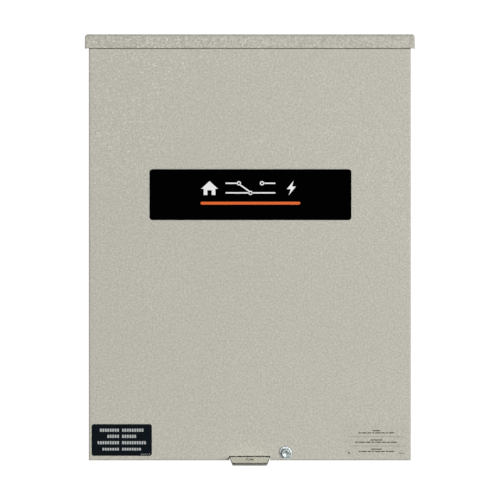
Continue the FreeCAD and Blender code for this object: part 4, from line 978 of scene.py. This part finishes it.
def notice_label_marks():
    """Two thin rules and three pairs of blank bars on the clear label."""
    low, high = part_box("notice_label")
    y, cx, height = low.y, (low.x + high.x) / 2, high.z - low.z
    rules = bmesh.new()
    for down in (0.395, 0.690):
        bar(rules, cx, high.z - down * height, 62.0 * MM, 0.35 * MM, y)
    piece("notice_label_rules", rules, rule_ink, "cover")
    marks = bmesh.new()
    gap, words = 0.7 * MM, 8
    # each pair: how far down the label it is, and the lengths of its two rows in millimetres
    for down, heading, text in ((0.205, 8.6, 41.0), (0.500, 13.5, 48.0), (0.790, 12.5, 40.5)):
        z = high.z - down * height
        bar(marks, cx, z, heading * MM, 1.1 * MM, y)
        x = cx - text / 2 * MM
        for k in range(words):
            length = text * MM * (0.085 + 0.040 * ((k * 5) % 3))     # short, long and middling in turn
            bar(marks, x + length / 2, z - 2.5 * MM, length - gap, 1.15 * MM, y)
            x += length
    bar(marks, high.x - 6.5 * MM, low.z + 3.0 * MM, 7.0 * MM, 0.6 * MM, y)
    bar(marks, low.x + 4.3 * MM, low.z + 3.4 * MM, 1.4 * MM, 2.4 * MM, y, r=0.3 * MM)
    piece("notice_label_bars", marks, dark_ink, "cover")


def wiring_diagram_marks():
    """Schematic on the inside of the cover: two sources, the changeover contacts and the load."""
    low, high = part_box("wiring_diagram_label")
    y, cx, cz = high.y, (low.x + high.x) / 2, (low.z + high.z) / 2
    bm = bmesh.new()
    stroke, towards = 0.7 * MM, 1.0

    def at(x, z):
        return cx + x * MM, cz + z * MM

    def path(*points):
        for a, b in zip(points, points[1:]):
            line(bm, at(*a), at(*b), stroke, y, towards)

    def terminal(x, z, r_out=1.8, r_in=1.1):
        ring_mark(bm, *at(x, z), r_out * MM, r_in * MM, y, towards)

    border_x, border_z, legend = 84, 56, -38
    path((-border_x, -border_z), (border_x, -border_z), (border_x, border_z), (-border_x, border_z),
         (-border_x, -border_z))
    path((-border_x, legend), (border_x, legend))
    for dx in (0.0, 16.0):                  # one pole, then the other
        terminal(-40 + dx, 40)
        terminal(30 + dx, 40)
        path((-40 + dx, 38), (-40 + dx, 22))
        path((30 + dx, 38), (30 + dx, 22), (-20 + dx, 22))
        terminal(-10 + dx, 6, 1.4, 0.8)
        path((-10 + dx, 7.5), (-38 + dx, 20.5))
        path((-10 + dx, 4.5), (-10 + dx, -26))
        terminal(-10 + dx, -28)
    for k in range(5):                      # boxes of the control circuit, each with its wire
        z = 34 - 9 * k
        path((62, z), (76, z), (76, z - 5), (62, z - 5), (62, z))
        path((52, z - 2.5), (62, z - 2.5))
    for k in range(4):                      # blank lines of the legend
        bar(bm, *at(-52 + 34 * k, -44), 24 * MM, 1.6 * MM, y, towards)
        bar(bm, *at(-56 + 34 * k, -49), 16 * MM, 1.2 * MM, y, towards)
    piece("wiring_diagram_lines", bm, line_ink, "cover")


nameplate_marks()
load_label_marks()
notice_label_marks()
wiring_diagram_marks()


# ---------------------------------------------------------------- studio
WHITE = 1.02            # strength of the white that the camera sees behind the object
FILL = 0.06             # strength of the surroundings as a light
# name, place, size and power of each softbox, all aimed at the origin
SOFTBOXES = (
    ("key_softbox", (2.2, -6.0, 0.9), (2.2, 2.2), 345.0),
    ("fill_softbox", (-2.4, -6.0, 0.2), (2.6, 2.6), 58.0),
    ("back_softbox", (0.6, 3.4, 1.6), (2.4, 2.0), 120.0),
    ("right_softbox", (4.0, 0.9, 0.8), (1.6, 2.0), 60.0),
    ("left_softbox", (-4.0, 0.9, 0.8), (1.6, 2.0), 45.0),
)
FLOOR_DROP = 0.30       # the box hangs this far above the floor
FLOOR_NEAR, FLOOR_FAR, FLOOR_REACH = 0.45, 0.72, 6.0
FLOOR_GLOW = 0.45       # how much of the surroundings' white the near floor already has
FLOOR_RINGS, FLOOR_STEPS = 12, 64


def studio():
    """Camera in front of the cover, white surroundings and soft lights."""
    scene = bpy.context.scene
    scene.view_settings.view_transform = "Standard"
    camera = bpy.data.objects.new("camera", bpy.data.cameras.new("camera"))
    camera.data.lens = 64.2
    camera.data.sensor_width = 36.0
    camera.location = (0.0002, -1.18, -0.0029)
    camera.rotation_euler = (math.radians(90), 0, 0)
    scene.collection.objects.link(camera)
    scene.camera = camera

    world = bpy.data.worlds.new("studio_world")
    scene.world = world
    world.use_nodes = True
    tree = world.node_tree
    shown = tree.nodes["Background"]
    shown.inputs["Color"].default_value = (1.0, 1.0, 1.0, 1.0)
    shown.inputs["Strength"].default_value = WHITE
    fill = tree.nodes.new("ShaderNodeBackground")
    fill.inputs["Color"].default_value = (0.96, 0.98, 1.0, 1.0)
    fill.inputs["Strength"].default_value = FILL
    path = tree.nodes.new("ShaderNodeLightPath")
    mix = tree.nodes.new("ShaderNodeMixShader")
    tree.links.new(path.outputs["Is Camera Ray"], mix.inputs["Fac"])
    tree.links.new(fill.outputs["Background"], mix.inputs[1])
    tree.links.new(shown.outputs["Background"], mix.inputs[2])
    tree.links.new(mix.outputs["Shader"], tree.nodes["World Output"].inputs["Surface"])

    for name, place, size, power in SOFTBOXES:
        light = bpy.data.lights.new(name, "AREA")
        light.shape = "RECTANGLE"
        light.size, light.size_y = size
        light.energy = power
        lamp = bpy.data.objects.new(name, light)
        lamp.location = place
        lamp.rotation_euler = (-Vector(place)).to_track_quat("-Z", "Y").to_euler()
        scene.collection.objects.link(lamp)


def pale_floor():
    """Round pale floor whose far part fades into the white surroundings."""
    bm = bmesh.new()
    z = cad_low.z - FLOOR_DROP
    radii = [FLOOR_REACH * (k / FLOOR_RINGS) ** 2 for k in range(1, FLOOR_RINGS + 1)]
    angles = [2 * math.pi * k / FLOOR_STEPS for k in range(FLOOR_STEPS)]
    centre = bm.verts.new((0, 0, z))
    rows = [[bm.verts.new((r * math.cos(a), r * math.sin(a), z)) for a in angles] for r in radii]
    for k in range(FLOOR_STEPS):
        j = (k + 1) % FLOOR_STEPS
        bm.faces.new((centre, rows[0][k], rows[0][j]))
        for inner, outer in zip(rows, rows[1:]):
            bm.faces.new((inner[k], outer[k], outer[j], inner[j]))
    mesh = bpy.data.meshes.new("floor")
    bm.to_mesh(mesh)
    bm.free()
    floor = bpy.data.objects.new("floor", mesh)
    bpy.context.scene.collection.objects.link(floor)
    f = Finish("pale_floor", (0.86, 0.86, 0.85), 0.6)
    f.mottle(f.noise(0.4, detail=2.0), 0.01)
    glow = f.tree.nodes.new("ShaderNodeEmission")
    path = f.tree.nodes.new("ShaderNodeLightPath")
    f.link(f.ramp(path.outputs["Is Camera Ray"], 0.0, 1.0, FILL, WHITE), glow, "Strength")
    length = f.tree.nodes.new("ShaderNodeVectorMath")
    length.operation = "LENGTH"
    f.link(f.place((1.0, 1.0, 0.0)), length, 0)
    fade = f.ramp(length.outputs["Value"], FLOOR_NEAR, FLOOR_FAR, FLOOR_GLOW, 1.0)
    blend = f.tree.nodes.new("ShaderNodeMixShader")
    output = f.tree.nodes["Material Output"]
    f.tree.links.new(fade, blend.inputs["Fac"])
    f.tree.links.new(f.shader.outputs["BSDF"], blend.inputs[1])
    f.tree.links.new(glow.outputs["Emission"], blend.inputs[2])
    f.tree.links.new(blend.outputs["Shader"], output.inputs["Surface"])
    mesh.materials.append(f.material)


studio()
pale_floor()
